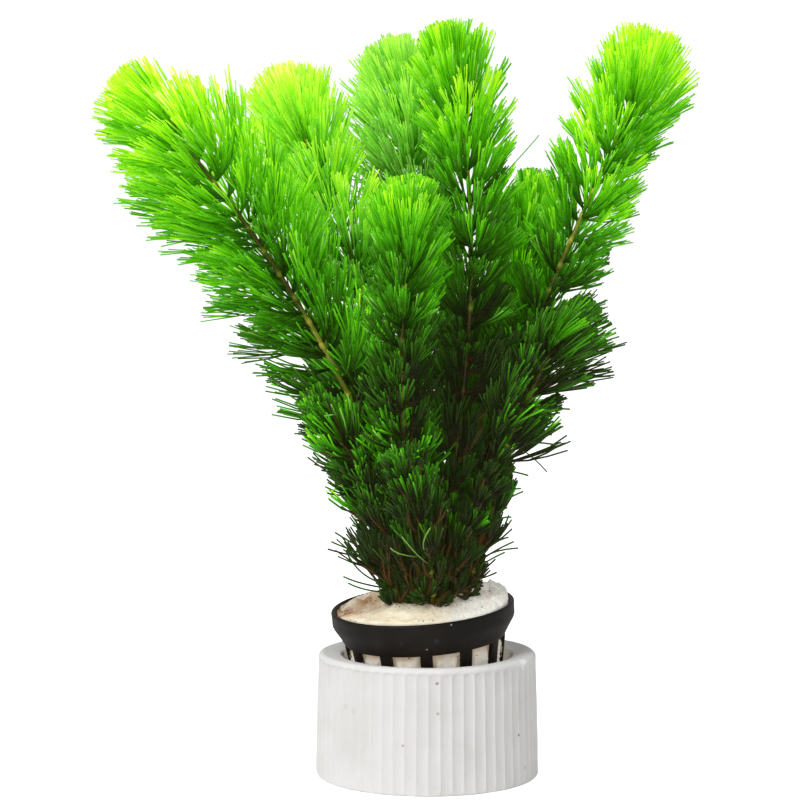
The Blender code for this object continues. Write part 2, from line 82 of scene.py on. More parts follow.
# The bunch is tight near the wool: leaves there are shorter and stand steeper, on the right from higher up.
# Each pair holds for the two places along X, on the left and on the right, and is blended between them
TIGHT_SIDES = (-10.0 * MM, 10.0 * MM)
TIGHT_BELOW = (84.0 * MM, 116.0 * MM)
TIGHT_FROM = (46.0 * MM, 76.0 * MM)
TIGHT_ANGLE = (30.0, 14.0)
TIGHT_LENGTH = (19.0 * MM, 14.0 * MM)
# The lowest leaves lie out over the wool as a short skirt
SKIRT_BELOW = 53.0 * MM
SKIRT_ANGLE = 66.0
SKIRT_LENGTH = 8.0 * MM
# The bunch's ragged outline: the height of a leaf's tip in mm, and how much longer the leaves are there that
# point to the left and to the right
TRIM = np.array((
    (49, -0.1, -0.55), (51.5, -0.1, -0.5), (57, -0.12, -0.2), (62, -0.22, -0.42), (68, 0.38, -0.28),
    (73.5, 0.15, 0.12), (79, -0.15, -0.3), (84, -0.3, -0.1), (90, -0.3, -0.28), (95, -0.1, -0.28),
    (100, -0.2, 0.25), (106, -0.2, -0.12), (111, 0.0, -0.35), (117, 0.0, 0.05), (122, -0.03, 0.15),
    (128, -0.42, 0.15), (133, -0.02, 0.08), (139, -0.04, -0.05), (144, -0.12, 0.0), (150, -0.05, 0.0),
    (155, 0.02, 0.0), (160, 0.0, 0.0),
))
# Leaves are greener the higher they are, partly as the older leaves below are darker and partly as painted
# shade low in the bunch: heights in mm, and how green they are there
GREENS_AND_SHADE = np.array((
    (50, 0.0), (63, 0.13), (76, 0.2), (100, 0.27), (117, 0.33), (131, 0.41),
    (145, 0.5), (158, 0.58), (172, 0.64), (186, 0.7), (205, 0.77),
))
# Leaves under this height are shaded, fully so where they stand lower by the fade
SHADED_BELOW = 140.0 * MM
SHADED_FADE = 50.0 * MM
# Painted shade in the heart of the bunch, where little light reaches: its middle and its half-size along X
# and Z, and how much less green it is painted
HEART = (12.0 * MM, 104.0 * MM)
HEART_SIZE = (16.0 * MM, 28.0 * MM)
HEART_PAINTED_SHADE = 0.11
# No living thread is less green than this
LEAST_GREEN = 0.2
# Some threads are old and brown: heights of a leaf's foot in mm, and the share of old threads there
OLD_THREADS = np.array(((52, 0.55), (60, 0.16), (80, 0.05), (115, 0.0)))


class Slot(Enum):
    """The record's material slots."""

    CLAY = "clay"
    POT_PLASTIC = "pot_plastic"
    WOOL = "wool"
    LEAVES_BRIGHT = "leaves_bright"
    LEAVES_MIDDLE = "leaves_middle"
    LEAVES_DARK = "leaves_dark"


@dataclass(frozen=True)
class StemPlan:
    """One cutting: where it enters the wool, two handles, its tip, and the leaves that it carries.

    foot is in the net pot's frame, on the wool. The handles and the tip are in the world's frame. All are mm.
    crown is how far leaves reach past the tip, girth how far they reach from the stem under it and low down,
    and spread their angle from it in degrees. whorls is how many whorls of the CAD model they stand for.
    fresh_and_lit is how much greener than the rest they are, and partly painted light: stems on the left,
    where the light falls, are given more. pale is how far a painted haze of light pales them. parted is how
    far those on the viewer's side lean apart, so that the stem shows. lean is how much longer they are
    towards +X and towards +Z, and light how far they bend that way. gap is the widest gap between two whorls.
    Leaves under the height old_below have fewer, thicker threads. trimmed says whether they follow the ragged
    outline.
    """

    name: str
    foot: tuple[float, float]
    low_handle: tuple[float, float, float]
    high_handle: tuple[float, float, float]
    tip: tuple[float, float, float]
    crown: float
    girth: tuple[float, float]
    spread: float
    whorls: int
    slot: Slot
    fresh_and_lit: float = 0.0
    parted: float = 0.25
    pale: float = 0.0
    lean: tuple[float, float] = (0.0, 0.0)
    light: tuple[float, float] = (0.0, 0.2)
    gap: float = 5.4
    old_below: float = 102.0
    trimmed: bool = True


STEMS = (
    StemPlan("tall_left", (-2.5, -2.0), (-6, -4, 87), (-39, -13, 143), (-71, -9, 179),
             18.5, (25, 24), 52, 5, Slot.LEAVES_BRIGHT,
             fresh_and_lit=0.09, parted=0.55, light=(-0.36, 0.08), gap=4.2, old_below=118),
    StemPlan("tall_back_left", (-1.5, 2.5), (0, 8, 87), (-18, 20, 137), (-36, 26, 180),
             17.8, (17, 18), 42, 4, Slot.LEAVES_BRIGHT, fresh_and_lit=0.09, pale=0.2, lean=(-0.1, 0.0)),
    StemPlan("tall_back", (3.0, 5.0), (3, 14, 92), (-1, 32, 142), (-7, 39, 190),
             19.2, (19, 18), 42, 4, Slot.LEAVES_BRIGHT,
             fresh_and_lit=-0.03, pale=0.5, lean=(-0.1, -0.08), light=(-0.15, 0.2)),
    StemPlan("tall_centre", (3.0, -3.0), (9, -5, 92), (17, -9, 147), (7, -5, 189),
             18.3, (14, 17), 42, 6, Slot.LEAVES_BRIGHT,
             fresh_and_lit=-0.06, parted=0.45, lean=(0.08, 0.0), gap=5.1, old_below=107),
    StemPlan("tall_right", (8.0, 0.0), (13, 0, 87), (36, 5, 142), (58, 6, 187),
             20.0, (16.5, 17), 47, 5, Slot.LEAVES_BRIGHT,
             fresh_and_lit=0.02, parted=0.4, lean=(-0.02, 0.0), light=(-0.1, 0.2)),
    StemPlan("middle_front", (-1.0, -7.0), (-6, -15, 77), (-9, -25, 117), (-5, -23, 150),
             14.5, (13, 16), 42, 4, Slot.LEAVES_MIDDLE, fresh_and_lit=0.03, parted=0.35),
    StemPlan("middle_back_right", (7.5, 4.5), (11, 11, 77), (22, 20, 117), (29, 24, 153),
             14.5, (15, 17), 40, 2, Slot.LEAVES_MIDDLE, fresh_and_lit=0.02),
    StemPlan("middle_right", (7.5, -4.5), (10, -9, 72), (24, -17, 97), (33, -19, 119),
             16, (21, 8), 58, 3, Slot.LEAVES_MIDDLE,
             fresh_and_lit=-0.03, parted=0.3, lean=(0.12, -0.12), light=(0.32, -0.02), gap=4.6, old_below=122),
    StemPlan("low_left", (-7.0, -5.0), (-8, -10, 68), (-17, -14, 86), (-27, -15, 98),
             12, (15, 12), 50, 3, Slot.LEAVES_DARK, fresh_and_lit=0.09, parted=0.4, lean=(-0.1, 0.0)),
    StemPlan("low_front", (2.5, -8.5), (2, -15, 62), (-3, -22, 74), (-7, -26, 84),
             12, (13, 13), 50, 2, Slot.LEAVES_DARK, fresh_and_lit=-0.05, parted=0.5),
    StemPlan("low_right", (12.0, -2.5), (15, -3, 64), (18, -4, 75), (21, -4, 84),
             6, (7, 6), 40, 2, Slot.LEAVES_DARK, parted=0.3),
    StemPlan("low_back_left", (-6.0, 2.0), (-9, 10, 67), (-20, 19, 92), (-27, 25, 112),
             14, (18, 18), 50, 2, Slot.LEAVES_DARK, trimmed=False),
    StemPlan("low_back", (3.5, 9.5), (8, 18, 72), (15, 30, 100), (19, 36, 124),
             14, (18, 18), 50, 2, Slot.LEAVES_DARK, trimmed=False),
)


def scaled(vectors: Array) -> Array:
    """The vectors in the last axis, each divided by its length."""
    return vectors / np.linalg.norm(vectors, axis=-1, keepdims=True)


def smooth_step(share: Array) -> Array:
    """3s^2 - 2s^3 of the share held between 0 and 1: a soft rise from 0 to 1."""
    held = np.clip(share, 0.0, 1.0)
    return held * held * (3.0 - 2.0 * held)


def waves(places: Array, length: float, seed: int, count: int = 36) -> Array:
    """A smooth random field: the sum of many sine waves of random direction, phase and nearly one length.

    Args:
        places: Points, in metres, in the last axis.
        length: The waves' length, in metres.
        seed: The seed of their directions and phases.
        count: How many waves are summed.

    Returns:
        One number for each point, mostly between -1.5 and 1.5.
    """
    chance = np.random.default_rng(seed)
    ways = scaled(chance.normal(size=(count, 3))) / (length * chance.uniform(0.7, 1.4, (count, 1)))
    return np.sin(TURN * (places @ ways.T + chance.uniform(size=count))).sum(axis=-1) / math.sqrt(count)


def net_pot_place() -> Matrix:
    """From the net pot's frame to the world's: its rim's centre, and its lean to the viewer and the left."""
    turn = Euler((LEAN_TO_VIEWER, -LEAN_TO_LEFT, 0.0)).to_matrix().to_4x4()
    return Matrix.Translation(NET_POT_RIM) @ turn


def moved(points: Array, place: Matrix) -> Array:
    """The points, turned and shifted by the place."""
    return points @ np.array(place.to_3x3()).T + np.array(place.translation)


def wool_height(x: Array, y: Array) -> Array:
    """The wool's top over the rim's plane: a crown c(1 - r^2/R^2) plus a bell h exp(-(d/w)^2) a bump.

    Args:
        x: Places along the net pot's X, in metres.
        y: Places along its Y.

    Returns:
        The heights, in metres.
    """
    height = WOOL_CROWN * (1.0 - (x * x + y * y) / RIM_RADIUS ** 2)
    for at_x, at_y, rise, width in WOOL_BUMPS:
        far = np.hypot(x - at_x * MM, y - at_y * MM)
        height = height + rise * MM * np.exp(-(far / (width * MM)) ** 2)
    return height


@dataclass
class Surface:
    """Points with faces between them: each array of faces has one row of point numbers for each face."""

    points: Array
    faces: list[Array]
    values: dict[str, Array] = field(default_factory=dict)

    @staticmethod
    def joined(parts: list["Surface"]) -> "Surface":
        """Makes several surfaces one.

        Args:
            parts: The surfaces, which all hold the same values.

        Returns:
            The one surface, with the parts' points one after another.
        """
        starts = np.cumsum([0] + [len(part.points) for part in parts])
        faces = [rows + start for part, start in zip(parts, starts) for rows in part.faces]
        values = {name: np.concatenate([part.values[name] for part in parts]) for name in parts[0].values}
        return Surface(np.concatenate([part.points for part in parts]), faces, values)

    def piece(self, name: str, material: bpy.types.Material, slot: Slot, stands_for: list[str],
              sharp: float | None = None, map_of: tuple[str, str] | None = None) -> bpy.types.Object:
        """Puts the surface into the scene as a smooth piece that rides on the object's one body.

        Args:
            name: The piece's name.
            material: Its material.
            slot: The record's slot. It is not used.
            stands_for: The CAD nodes that it takes the place of.
            sharp: The turn, in radians, past which an edge stays sharp.
            map_of: The names of the two values that its UV map holds, with a small cell for each face.

        Returns:
            The new object, which sits at the origin with its place in its mesh.
        """
        mesh = bpy.data.meshes.new(name)
        mesh.vertices.add(len(self.points))
        mesh.vertices.foreach_set("co", self.points.astype(np.float32).ravel())
        corners = np.concatenate([rows.ravel() for rows in self.faces]).astype(np.int32)
        sizes = np.concatenate([np.full(len(rows), rows.shape[1]) for rows in self.faces])
        mesh.loops.add(len(corners))
        mesh.loops.foreach_set("vertex_index", corners)
        mesh.polygons.add(len(sizes))
        mesh.polygons.foreach_set("loop_start", (np.cumsum(sizes) - sizes).astype(np.int32))
        mesh.update(calc_edges=True)
        for value, numbers in self.values.items():
            mesh.attributes.new(value, "FLOAT", "POINT").data.foreach_set("value", numbers.astype(np.float32))
        if map_of:
            spots = np.stack([self.values[value] for value in map_of], axis=1)[corners]
            turn = np.arange(len(corners)) % 4
            spots = spots + BAKE_CELL * np.stack([turn % 3 > 0, turn > 1], axis=1)
            mesh.uv_layers.new(name=BAKE_MAP).data.foreach_set("uv", spots.astype(np.float32).ravel())
        mesh.shade_smooth()
        if sharp is not None:
            mesh.set_sharp_from_angle(angle=sharp)
        mesh.materials.append(material)
        made = placed(name, mesh)
        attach(made, BODY)
        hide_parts(*stands_for)
        LOG.info("%s: %d triangles", name, int((sizes - 2).sum()))
        return made


def placed(name: str, data: bpy.types.ID) -> bpy.types.Object:
    """A new object at the origin, in the scene."""
    made = bpy.data.objects.new(name, data)
    bpy.context.scene.collection.objects.link(made)
    return made


def round_axis(radii: Array, angles: Array, heights: Array) -> Array:
    """The points at these radii, angles and heights round the Z axis: (r cos a, r sin a, z)."""
    return np.stack([radii * np.cos(angles), radii * np.sin(angles), heights], axis=-1)


def turned(radii: Array, heights: Array, angles: Array) -> Surface:
    """A closed turned surface: row i, column j lies at its radius r and height z, at the column's angle.

    The rows run from the middle of the underside outwards, up the outside, over the top and down the inside,
    so that the faces point outwards. A pole closes each end.

    Args:
        radii: One radius for each row and column.
        heights: One height for each row and column.
        angles: The angle of each column.

    Returns:
        The surface. Its points are the rows one after another, then the two poles. Its first faces are the
        cells between the rows, row after row.
    """
    rows, columns = radii.shape
    grid = round_axis(radii, angles, heights)
    index = np.arange(rows * columns).reshape(rows, columns)
    after = np.roll(index, -1, axis=1)
    cells = np.stack([index[:-1], after[:-1], after[1:], index[1:]], axis=-1)
    first, last = rows * columns, rows * columns + 1
    low = np.stack([np.full(columns, first), after[0], index[0]], axis=1)
    high = np.stack([np.full(columns, last), index[-1], after[-1]], axis=1)
    poles = np.array([[0.0, 0.0, heights[0].mean()], [0.0, 0.0, heights[-1].mean()]])
    return Surface(np.concatenate([grid.reshape(-1, 3), poles]), [cells.reshape(-1, 4), low, high])


def tubes(centres: Array, sides: Array, ups: Array, widths: Array, corners: int) -> Surface:
    """Closed tubes: a ring's corner at angle a lies at the ring's centre + width (side cos a + up sin a).

    Args:
        centres: The rings' centres, as tube, ring, xyz.
        sides: A unit vector square to the tube at each ring.
        ups: The unit vector square to the tube and to the side.
        widths: The radius of each ring, as tube, ring.
        corners: How many corners a ring has.

    Returns:
        The surface, with the points in the order tube, ring, corner.
    """
    count, rings = widths.shape
    angles = TURN * (np.arange(corners)[:, None] / corners + 0.25)
    spokes = np.cos(angles) * sides[:, :, None] + np.sin(angles) * ups[:, :, None]
    points = centres[:, :, None] + widths[:, :, None, None] * spokes
    index = np.arange(count * rings * corners).reshape(count, rings, corners)
    after = np.roll(index, -1, axis=2)
    walls = np.stack([index[:, :-1], after[:, :-1], after[:, 1:], index[:, 1:]], axis=-1)
    return Surface(points.reshape(-1, 3), [walls.reshape(-1, 4), index[:, 0, ::-1], index[:, -1]])


def threads_along(centres: Array, across: Array, widths: Array, corners: int) -> Surface:
    """Closed tubes along lines of points, each turned so that a side is square to the vector across.

    Args:
        centres: The lines' points, as tube, ring, xyz.
        across: One vector, or one for each tube.
        widths: The radius of each ring, as tube, ring.
        corners: How many corners a ring has.

    Returns:
        The surface, with the points in the order tube, ring, corner.
    """
    ahead = scaled(np.gradient(centres, axis=1))
    sides = scaled(np.cross(ahead, across))
    return tubes(centres, sides, np.cross(ahead, sides), widths, corners)


def arc(centre: tuple[float, float], radius: float, start: float, end: float, count: int) -> Array:
    """Points on a circle, from one angle in degrees to another: centre + radius (cos a, sin a)."""
    angles = np.radians(np.linspace(start, end, count))
    return np.stack([centre[0] + radius * np.cos(angles), centre[1] + radius * np.sin(angles)], axis=1)


def line(start: tuple[float, float], end: tuple[float, float], count: int) -> Array:
    """Evenly spaced points on a straight line, both ends left out."""
    shares = np.linspace(0.0, 1.0, count + 2)[1:-1, None]
    return np.array(start) * (1.0 - shares) + np.array(end) * shares


class Sheet:
    """Short calls that add nodes to one shader tree and join them."""

    def __init__(self, tree: bpy.types.NodeTree) -> None:
        """Keeps the tree that the nodes go into."""
        self.tree = tree

    def feed(self, socket: bpy.types.NodeSocket, value: object) -> None:
        """Joins the socket to an output, or sets it to a number, a vector or a colour.

        Args:
            socket: The input.
            value: The output or the value.
        """
        if isinstance(value, bpy.types.NodeSocket):
            self.tree.links.new(value, socket)
        elif socket.type == "RGBA":
            socket.default_value = (*value, 1.0)
        else:
            socket.default_value = value

    def add(self, kind: str, inputs: dict[str | int, object], **settings: object) -> bpy.types.Node:
        """Adds a node.

        Args:
            kind: The node's type, without the words ShaderNode.
            inputs: For each socket's name or number, the value or the output that feeds it.
            settings: The node's own settings.

        Returns:
            The node.
        """
        node = self.tree.nodes.new("ShaderNode" + kind)
        for name, value in settings.items():
            setattr(node, name, value)
        for name, value in inputs.items():
            self.feed(node.inputs[name], value)
        return node

    def math(self, operation: str, *terms: object) -> bpy.types.NodeSocket:
        """One sum of one, two or three terms."""
        return self.add("Math", dict(enumerate(terms)), operation=operation).outputs[0]

    def swing(self, value: object, middle: float, gain: object) -> bpy.types.NodeSocket:
        """(value - middle) gain."""
        return self.math("MULTIPLY", self.math("SUBTRACT", value, middle), gain)

    def value_of(self, name: str) -> bpy.types.NodeSocket:
        """The piece's own value of that name at each point."""
        return self.add("Attribute", {}, attribute_name=name).outputs["Fac"]

    def place(self) -> bpy.types.NodeSocket:
        """The place on the object, in metres."""
        return self.add("TexCoord", {}).outputs["Object"]

    def noise(self, place: object, scale: object, detail: float = 3.0) -> bpy.types.NodeSocket:
        """Cloudy noise between 0 and 1."""
        return self.add("TexNoise", {"Vector": place, "Scale": scale, "Detail": detail}).outputs["Fac"]

    def ramp(self, share: object, stops: tuple[tuple[float, Colour], ...]) -> bpy.types.NodeSocket:
        """A colour that runs through the stops.

        Args:
            share: The place on the run, from 0 to 1.
            stops: Each stop's place on the run and its colour.

        Returns:
            The colour.
        """
        node = self.add("ValToRGB", {"Fac": share})
        elements = node.color_ramp.elements
        for element, (position, shade) in zip(elements, (stops[0], stops[-1])):
            element.position = position
            element.color = (*shade, 1.0)
        for position, shade in stops[1:-1]:
            elements.new(position).color = (*shade, 1.0)
        return node.outputs["Color"]

    def mask(self, share: object, low: float, high: float) -> bpy.types.NodeSocket:
        """0 where the share is under low and 1 over high, with a soft rise between."""
        inputs = {"Value": share, "From Min": low, "From Max": high}
        return self.add("MapRange", inputs, interpolation_type="SMOOTHSTEP").outputs["Result"]

    def mix(self, share: object, first: object, second: object, kind: str = "MIX") -> bpy.types.NodeSocket:
        """Lays one colour over another.

        Args:
            share: How much of the second colour is laid over the first.
            first: The colour under it.
            second: The colour over it.
            kind: How the two are blended.

        Returns:
            The mixed colour.
        """
        node = self.add("Mix", {}, data_type="RGBA", blend_type=kind)
        for number, value in ((0, share), (6, first), (7, second)):
            self.feed(node.inputs[number], value)
        return node.outputs[2]

    def bump(self, height: object, distance: float, strength: float = 1.0) -> bpy.types.NodeSocket:
        """The normal of a surface raised by the height times the distance, in metres."""
        inputs = {"Height": height, "Distance": distance, "Strength": strength}
        return self.add("Bump", inputs).outputs["Normal"]

    def effect(self, group: bpy.types.NodeTree, inputs: dict[str, object]) -> bpy.types.NodeSocket:
        """Places a shared effect.

        Args:
            group: The effect.
            inputs: The value or the output for each of its inputs.

        Returns:
            Its one output.
        """
        node = self.tree.nodes.new("ShaderNodeGroup")
        node.node_tree = group
        for name, value in inputs.items():
            self.feed(node.inputs[name], value)
        return node.outputs[0]


def colour(code: str) -> Colour:
    """Linear red, green and blue of a colour written as six hex digits."""
    shares = [int(code[start:start + 2], 16) / 255.0 for start in (0, 2, 4)]
    return tuple(share / 12.92 if share <= 0.04045 else ((share + 0.055) / 1.055) ** 2.4 for share in shares)


class Effects:
    """The shader groups that several materials share, each built once."""

    def __init__(self) -> None:
        """Builds the groups."""
        self.specks = self._specks()
        self.grain = self._grain()
        self.spot = self._spot()

    @staticmethod
    def _group(name: str, numbers: dict[str, float], vectors: tuple[str, ...],
               output: str) -> tuple[bpy.types.NodeTree, Sheet, bpy.types.NodeOutputs]:
        """A new group with vector and number inputs and one number output.

        Args:
            name: The group's name.
            numbers: The number inputs with their usual values.
            vectors: The vector inputs.
            output: The name of the output.

        Returns:
            The group's tree, its sheet, and the sockets that carry its inputs.
        """
        tree = bpy.data.node_groups.new(name, "ShaderNodeTree")
        for label in vectors:
            tree.interface.new_socket(label, in_out="INPUT", socket_type="NodeSocketVector")
        for label, value in numbers.items():
            socket = tree.interface.new_socket(label, in_out="INPUT", socket_type="NodeSocketFloat")
            socket.default_value = value
        tree.interface.new_socket(output, in_out="OUTPUT", socket_type="NodeSocketFloat")
        return tree, Sheet(tree), tree.nodes.new("NodeGroupInput").outputs

    def _specks(self) -> bpy.types.NodeTree:
        """Scattered round specks: a cell's middle shows where the cell's own chance is under Share.

        Returns:
            The effect. Size is in cells.
        """
        numbers = {"Scale": 400.0, "Size": 0.3, "Share": 0.1}
        tree, sheet, given = self._group("specks", numbers, ("Vector",), "Mask")
        cells = sheet.add("TexVoronoi", {"Vector": given["Vector"], "Scale": given["Scale"]})
        chance = sheet.add("SeparateColor", {"Color": cells.outputs["Color"]}).outputs["Red"]
        chosen = sheet.math("LESS_THAN", chance, given["Share"])
        inside = sheet.math("SUBTRACT", given["Size"], cells.outputs["Distance"])
        soft = sheet.mask(inside, 0.0, 0.08)
        out = tree.nodes.new("NodeGroupOutput")
        sheet.feed(out.inputs["Mask"], sheet.math("MULTIPLY", chosen, soft))
        return tree

    def _grain(self) -> bpy.types.NodeTree:
        """A fine grain: fine noise plus a share of noise five times as wide, between 0 and 1.

        Returns:
            The effect.
        """
        numbers = {"Scale": 900.0, "Coarse": 0.5}
        tree, sheet, given = self._group("grain", numbers, ("Vector",), "Height")
        fine = sheet.noise(given["Vector"], given["Scale"], 4.0)
        wide = sheet.noise(given["Vector"], sheet.math("MULTIPLY", given["Scale"], 0.2), 2.0)
        both = sheet.math("MULTIPLY_ADD", wide, given["Coarse"], fine)
        out = tree.nodes.new("NodeGroupOutput")
        sheet.feed(out.inputs["Height"], sheet.math("DIVIDE", both, sheet.math("ADD", given["Coarse"], 1.0)))
        return tree

    def _spot(self) -> bpy.types.NodeTree:
        """One soft, uneven spot round Centre: 1 inside, falling to 0 at Size from it.

        Returns:
            The effect. Centre and Size are in metres.
        """
        numbers = {"Size": 0.001, "Uneven": 0.3}
        tree, sheet, given = self._group("spot", numbers, ("Vector", "Centre"), "Mask")
        far = sheet.add("VectorMath", {0: given["Vector"], 1: given["Centre"]}, operation="DISTANCE")
        share = sheet.math("DIVIDE", far.outputs["Value"], given["Size"])
        cloud = sheet.noise(given["Vector"], sheet.math("DIVIDE", 1.2, given["Size"]))
        edge = sheet.math("ADD", share, sheet.swing(cloud, 0.5, given["Uneven"]))
        out = tree.nodes.new("NodeGroupOutput")
        sheet.feed(out.inputs["Mask"], sheet.math("SUBTRACT", 1.0, sheet.mask(edge, 0.5, 1.0)))
        return tree


def new_material(name: str, roughness: float,
                 gloss: float) -> tuple[bpy.types.Material, Sheet, bpy.types.NodeInputs]:
    """Makes a material with one shader.

    Args:
        name: The material's name.
        roughness: The shader's roughness.
        gloss: The shader's specular level.

    Returns:
        The material, its sheet, and its shader's inputs.
    """
    material = bpy.data.materials.new(name)
    material.use_nodes = True
    inputs = material.node_tree.nodes["Principled BSDF"].inputs
    inputs["Roughness"].default_value = roughness
    inputs["Specular IOR Level"].default_value = gloss
    return material, Sheet(material.node_tree), inputs


@dataclass(frozen=True)
class Mark:
    """One soft mark on a surface: its place and size in mm, its colour and how strong it is."""

    centre: tuple[float, float, float]
    size: float
    shade: Colour
    strength: float = 1.0

    def laid_on(self, sheet: Sheet, effects: Effects, place: object, under: object) -> bpy.types.NodeSocket:
        """Lays the mark over a colour.

        Args:
            sheet: Where the nodes go.
            effects: The shared effects.
            place: The place on the object.
            under: The colour under the mark.

        Returns:
            The colour with the mark.
        """
        centre = [number * MM for number in self.centre]
        mask = sheet.effect(effects.spot, {"Vector": place, "Centre": centre, "Size": self.size * MM})
        return sheet.mix(sheet.math("MULTIPLY", mask, self.strength), under, self.shade)


@dataclass(frozen=True)
class Specks:
    """Specks all over a surface: cells to a metre, a speck's size in cells, the share of cells with one."""

    scale: float
    size: float
    share: float
    shade: Colour
    strength: float = 1.0

    def laid_on(self, sheet: Sheet, effects: Effects, place: object, under: object) -> bpy.types.NodeSocket:
        """Lays the specks over a colour, as a mark is laid.

        Args:
            sheet: Where the nodes go.
            effects: The shared effects.
            place: The place on the object.
            under: The colour under the specks.

        Returns:
            The colour with the specks.
        """
        sizes = {"Vector": place, "Scale": self.scale, "Size": self.size, "Share": self.share}
        mask = sheet.effect(effects.specks, sizes)
        return sheet.mix(sheet.math("MULTIPLY", mask, self.strength), under, self.shade)


@dataclass(frozen=True)
class Grain:
    """A surface's grain: how fine it is, its share of wider noise, its depth in metres and its strength."""

    scale: float
    coarse: float
    depth: float
    strength: float

    def normal(self, sheet: Sheet, effects: Effects, place: object) -> bpy.types.NodeSocket:
        """The normal of the grained surface."""
        grain = sheet.effect(effects.grain, {"Vector": place, "Scale": self.scale, "Coarse": self.coarse})
        return sheet.bump(grain, self.depth, self.strength)


@dataclass(frozen=True)
class ClayFinish:
    """Unglazed white clay: chalky, made warmer and darker in the flutes by painted shade, with a few brown
    and grey specks.
    """

    light: Colour = colour("F3F2F2")
    # The warmer colour of the clouds and of the painted shade in the flutes
    warm_and_painted_shade: Colour = colour("DFDAD4")
    broken: Colour = colour("FFFFFF")
    roughness: float = 0.92
    gloss: float = 0.25
    cloud_scale: float = 70.0
    cloud_share: float = 0.35
    # How much painted shade the flutes get
    groove_painted_shade: float = 0.12
    specks: Specks = Specks(210.0, 0.1, 0.05, colour("A98D70"), 0.7)
    grain: Grain = Grain(1400.0, 0.8, 0.2 * MM, 0.7)
    marks: tuple[Mark, ...] = (
        Mark((2.3, -29.8, 30.2), 0.6, colour("B08A6C"), 0.8),
        Mark((2.5, -30.0, 22.2), 0.5, colour("A4A4A2"), 0.7),
        Mark((-6.7, -29.6, 13.6), 0.5, colour("C0A080"), 0.7),
        Mark((24.5, -17.9, 14.1), 0.45, colour("6A5A50"), 0.8),
        Mark((-22.2, -20.4, 22.2), 1.0, colour("CFC4B0"), 0.22),
        Mark((-19.9, -22.5, 21.6), 1.4, colour("CFC4B0"), 0.16),
        Mark((26.3, -15.4, 4.7), 0.7, colour("C2B8AA"), 0.4),
    )

    def build(self, effects: Effects) -> bpy.types.Material:
        """Makes the material. It reads the values groove, 1 deep in a flute, and chip, 1 on the broken face.

        Args:
            effects: The shared effects.

        Returns:
            The material.
        """
        material, sheet, inputs = new_material("clay_finish", self.roughness, self.gloss)
        place = sheet.place()
        clouds = sheet.mask(sheet.noise(place, self.cloud_scale), 0.4, 0.8)
        # Painted shade in the flutes, deepest in the middle of each flute
        groove = sheet.math("MULTIPLY", sheet.value_of("groove"), self.groove_painted_shade)
        body = sheet.mix(sheet.math("MULTIPLY_ADD", clouds, self.cloud_share, groove), self.light, self.warm_and_painted_shade)
        for layer in (self.specks, *self.marks):
            body = layer.laid_on(sheet, effects, place, body)
        sheet.feed(inputs["Base Color"], sheet.mix(sheet.value_of("chip"), body, self.broken))
        sheet.feed(inputs["Normal"], self.grain.normal(sheet, effects, place))
        return material


@dataclass(frozen=True)
class PotPlasticFinish:
    """Black-brown moulded plastic: a soft sheen, fine rubbing, lime dust and tiny white grains."""

    body: Colour = colour("15100B")
    rubbed: Colour = colour("251C14")
    rub_scale: float = 110.0
    roughness: float = 0.36
    duller: float = 0.3
    dull_scale: float = 160.0
    gloss: float = 0.22
    dust: Specks = Specks(420.0, 0.1, 0.07, colour("D9D4C8"))
    grain: Grain = Grain(1100.0, 1.2, 0.06 * MM, 0.5)
    marks: tuple[Mark, ...] = (
        Mark((2.1, -24.1, 40.7), 1.1, colour("343A46"), 0.45),
        Mark((-11.0, -22.5, 43.1), 0.42, colour("E8E4DA")),
        Mark((-7.0, -23.2, 39.9), 0.36, colour("E8E4DA"), 0.8),
        Mark((-0.3, -22.9, 38.0), 0.36, colour("E8E4DA"), 0.8),
        Mark((6.1, -23.9, 45.0), 0.36, colour("E8E4DA"), 0.8),
    )

    def build(self, effects: Effects) -> bpy.types.Material:
        """Makes the material.

        Args:
            effects: The shared effects.

        Returns:
            The material.
        """
        material, sheet, inputs = new_material("net_pot_finish", self.roughness, self.gloss)
        place = sheet.place()
        rubbed = sheet.mask(sheet.noise(place, self.rub_scale, 5.0), 0.42, 0.75)
        body = sheet.mix(rubbed, self.body, self.rubbed)
        for layer in (*self.marks, self.dust):
            body = layer.laid_on(sheet, effects, place, body)
        sheet.feed(inputs["Base Color"], body)
        uneven = sheet.noise(place, self.dull_scale, 4.0)
        sheet.feed(inputs["Roughness"], sheet.math("MULTIPLY_ADD", uneven, self.duller, self.roughness))
        sheet.feed(inputs["Normal"], self.grain.normal(sheet, effects, place))
        return material


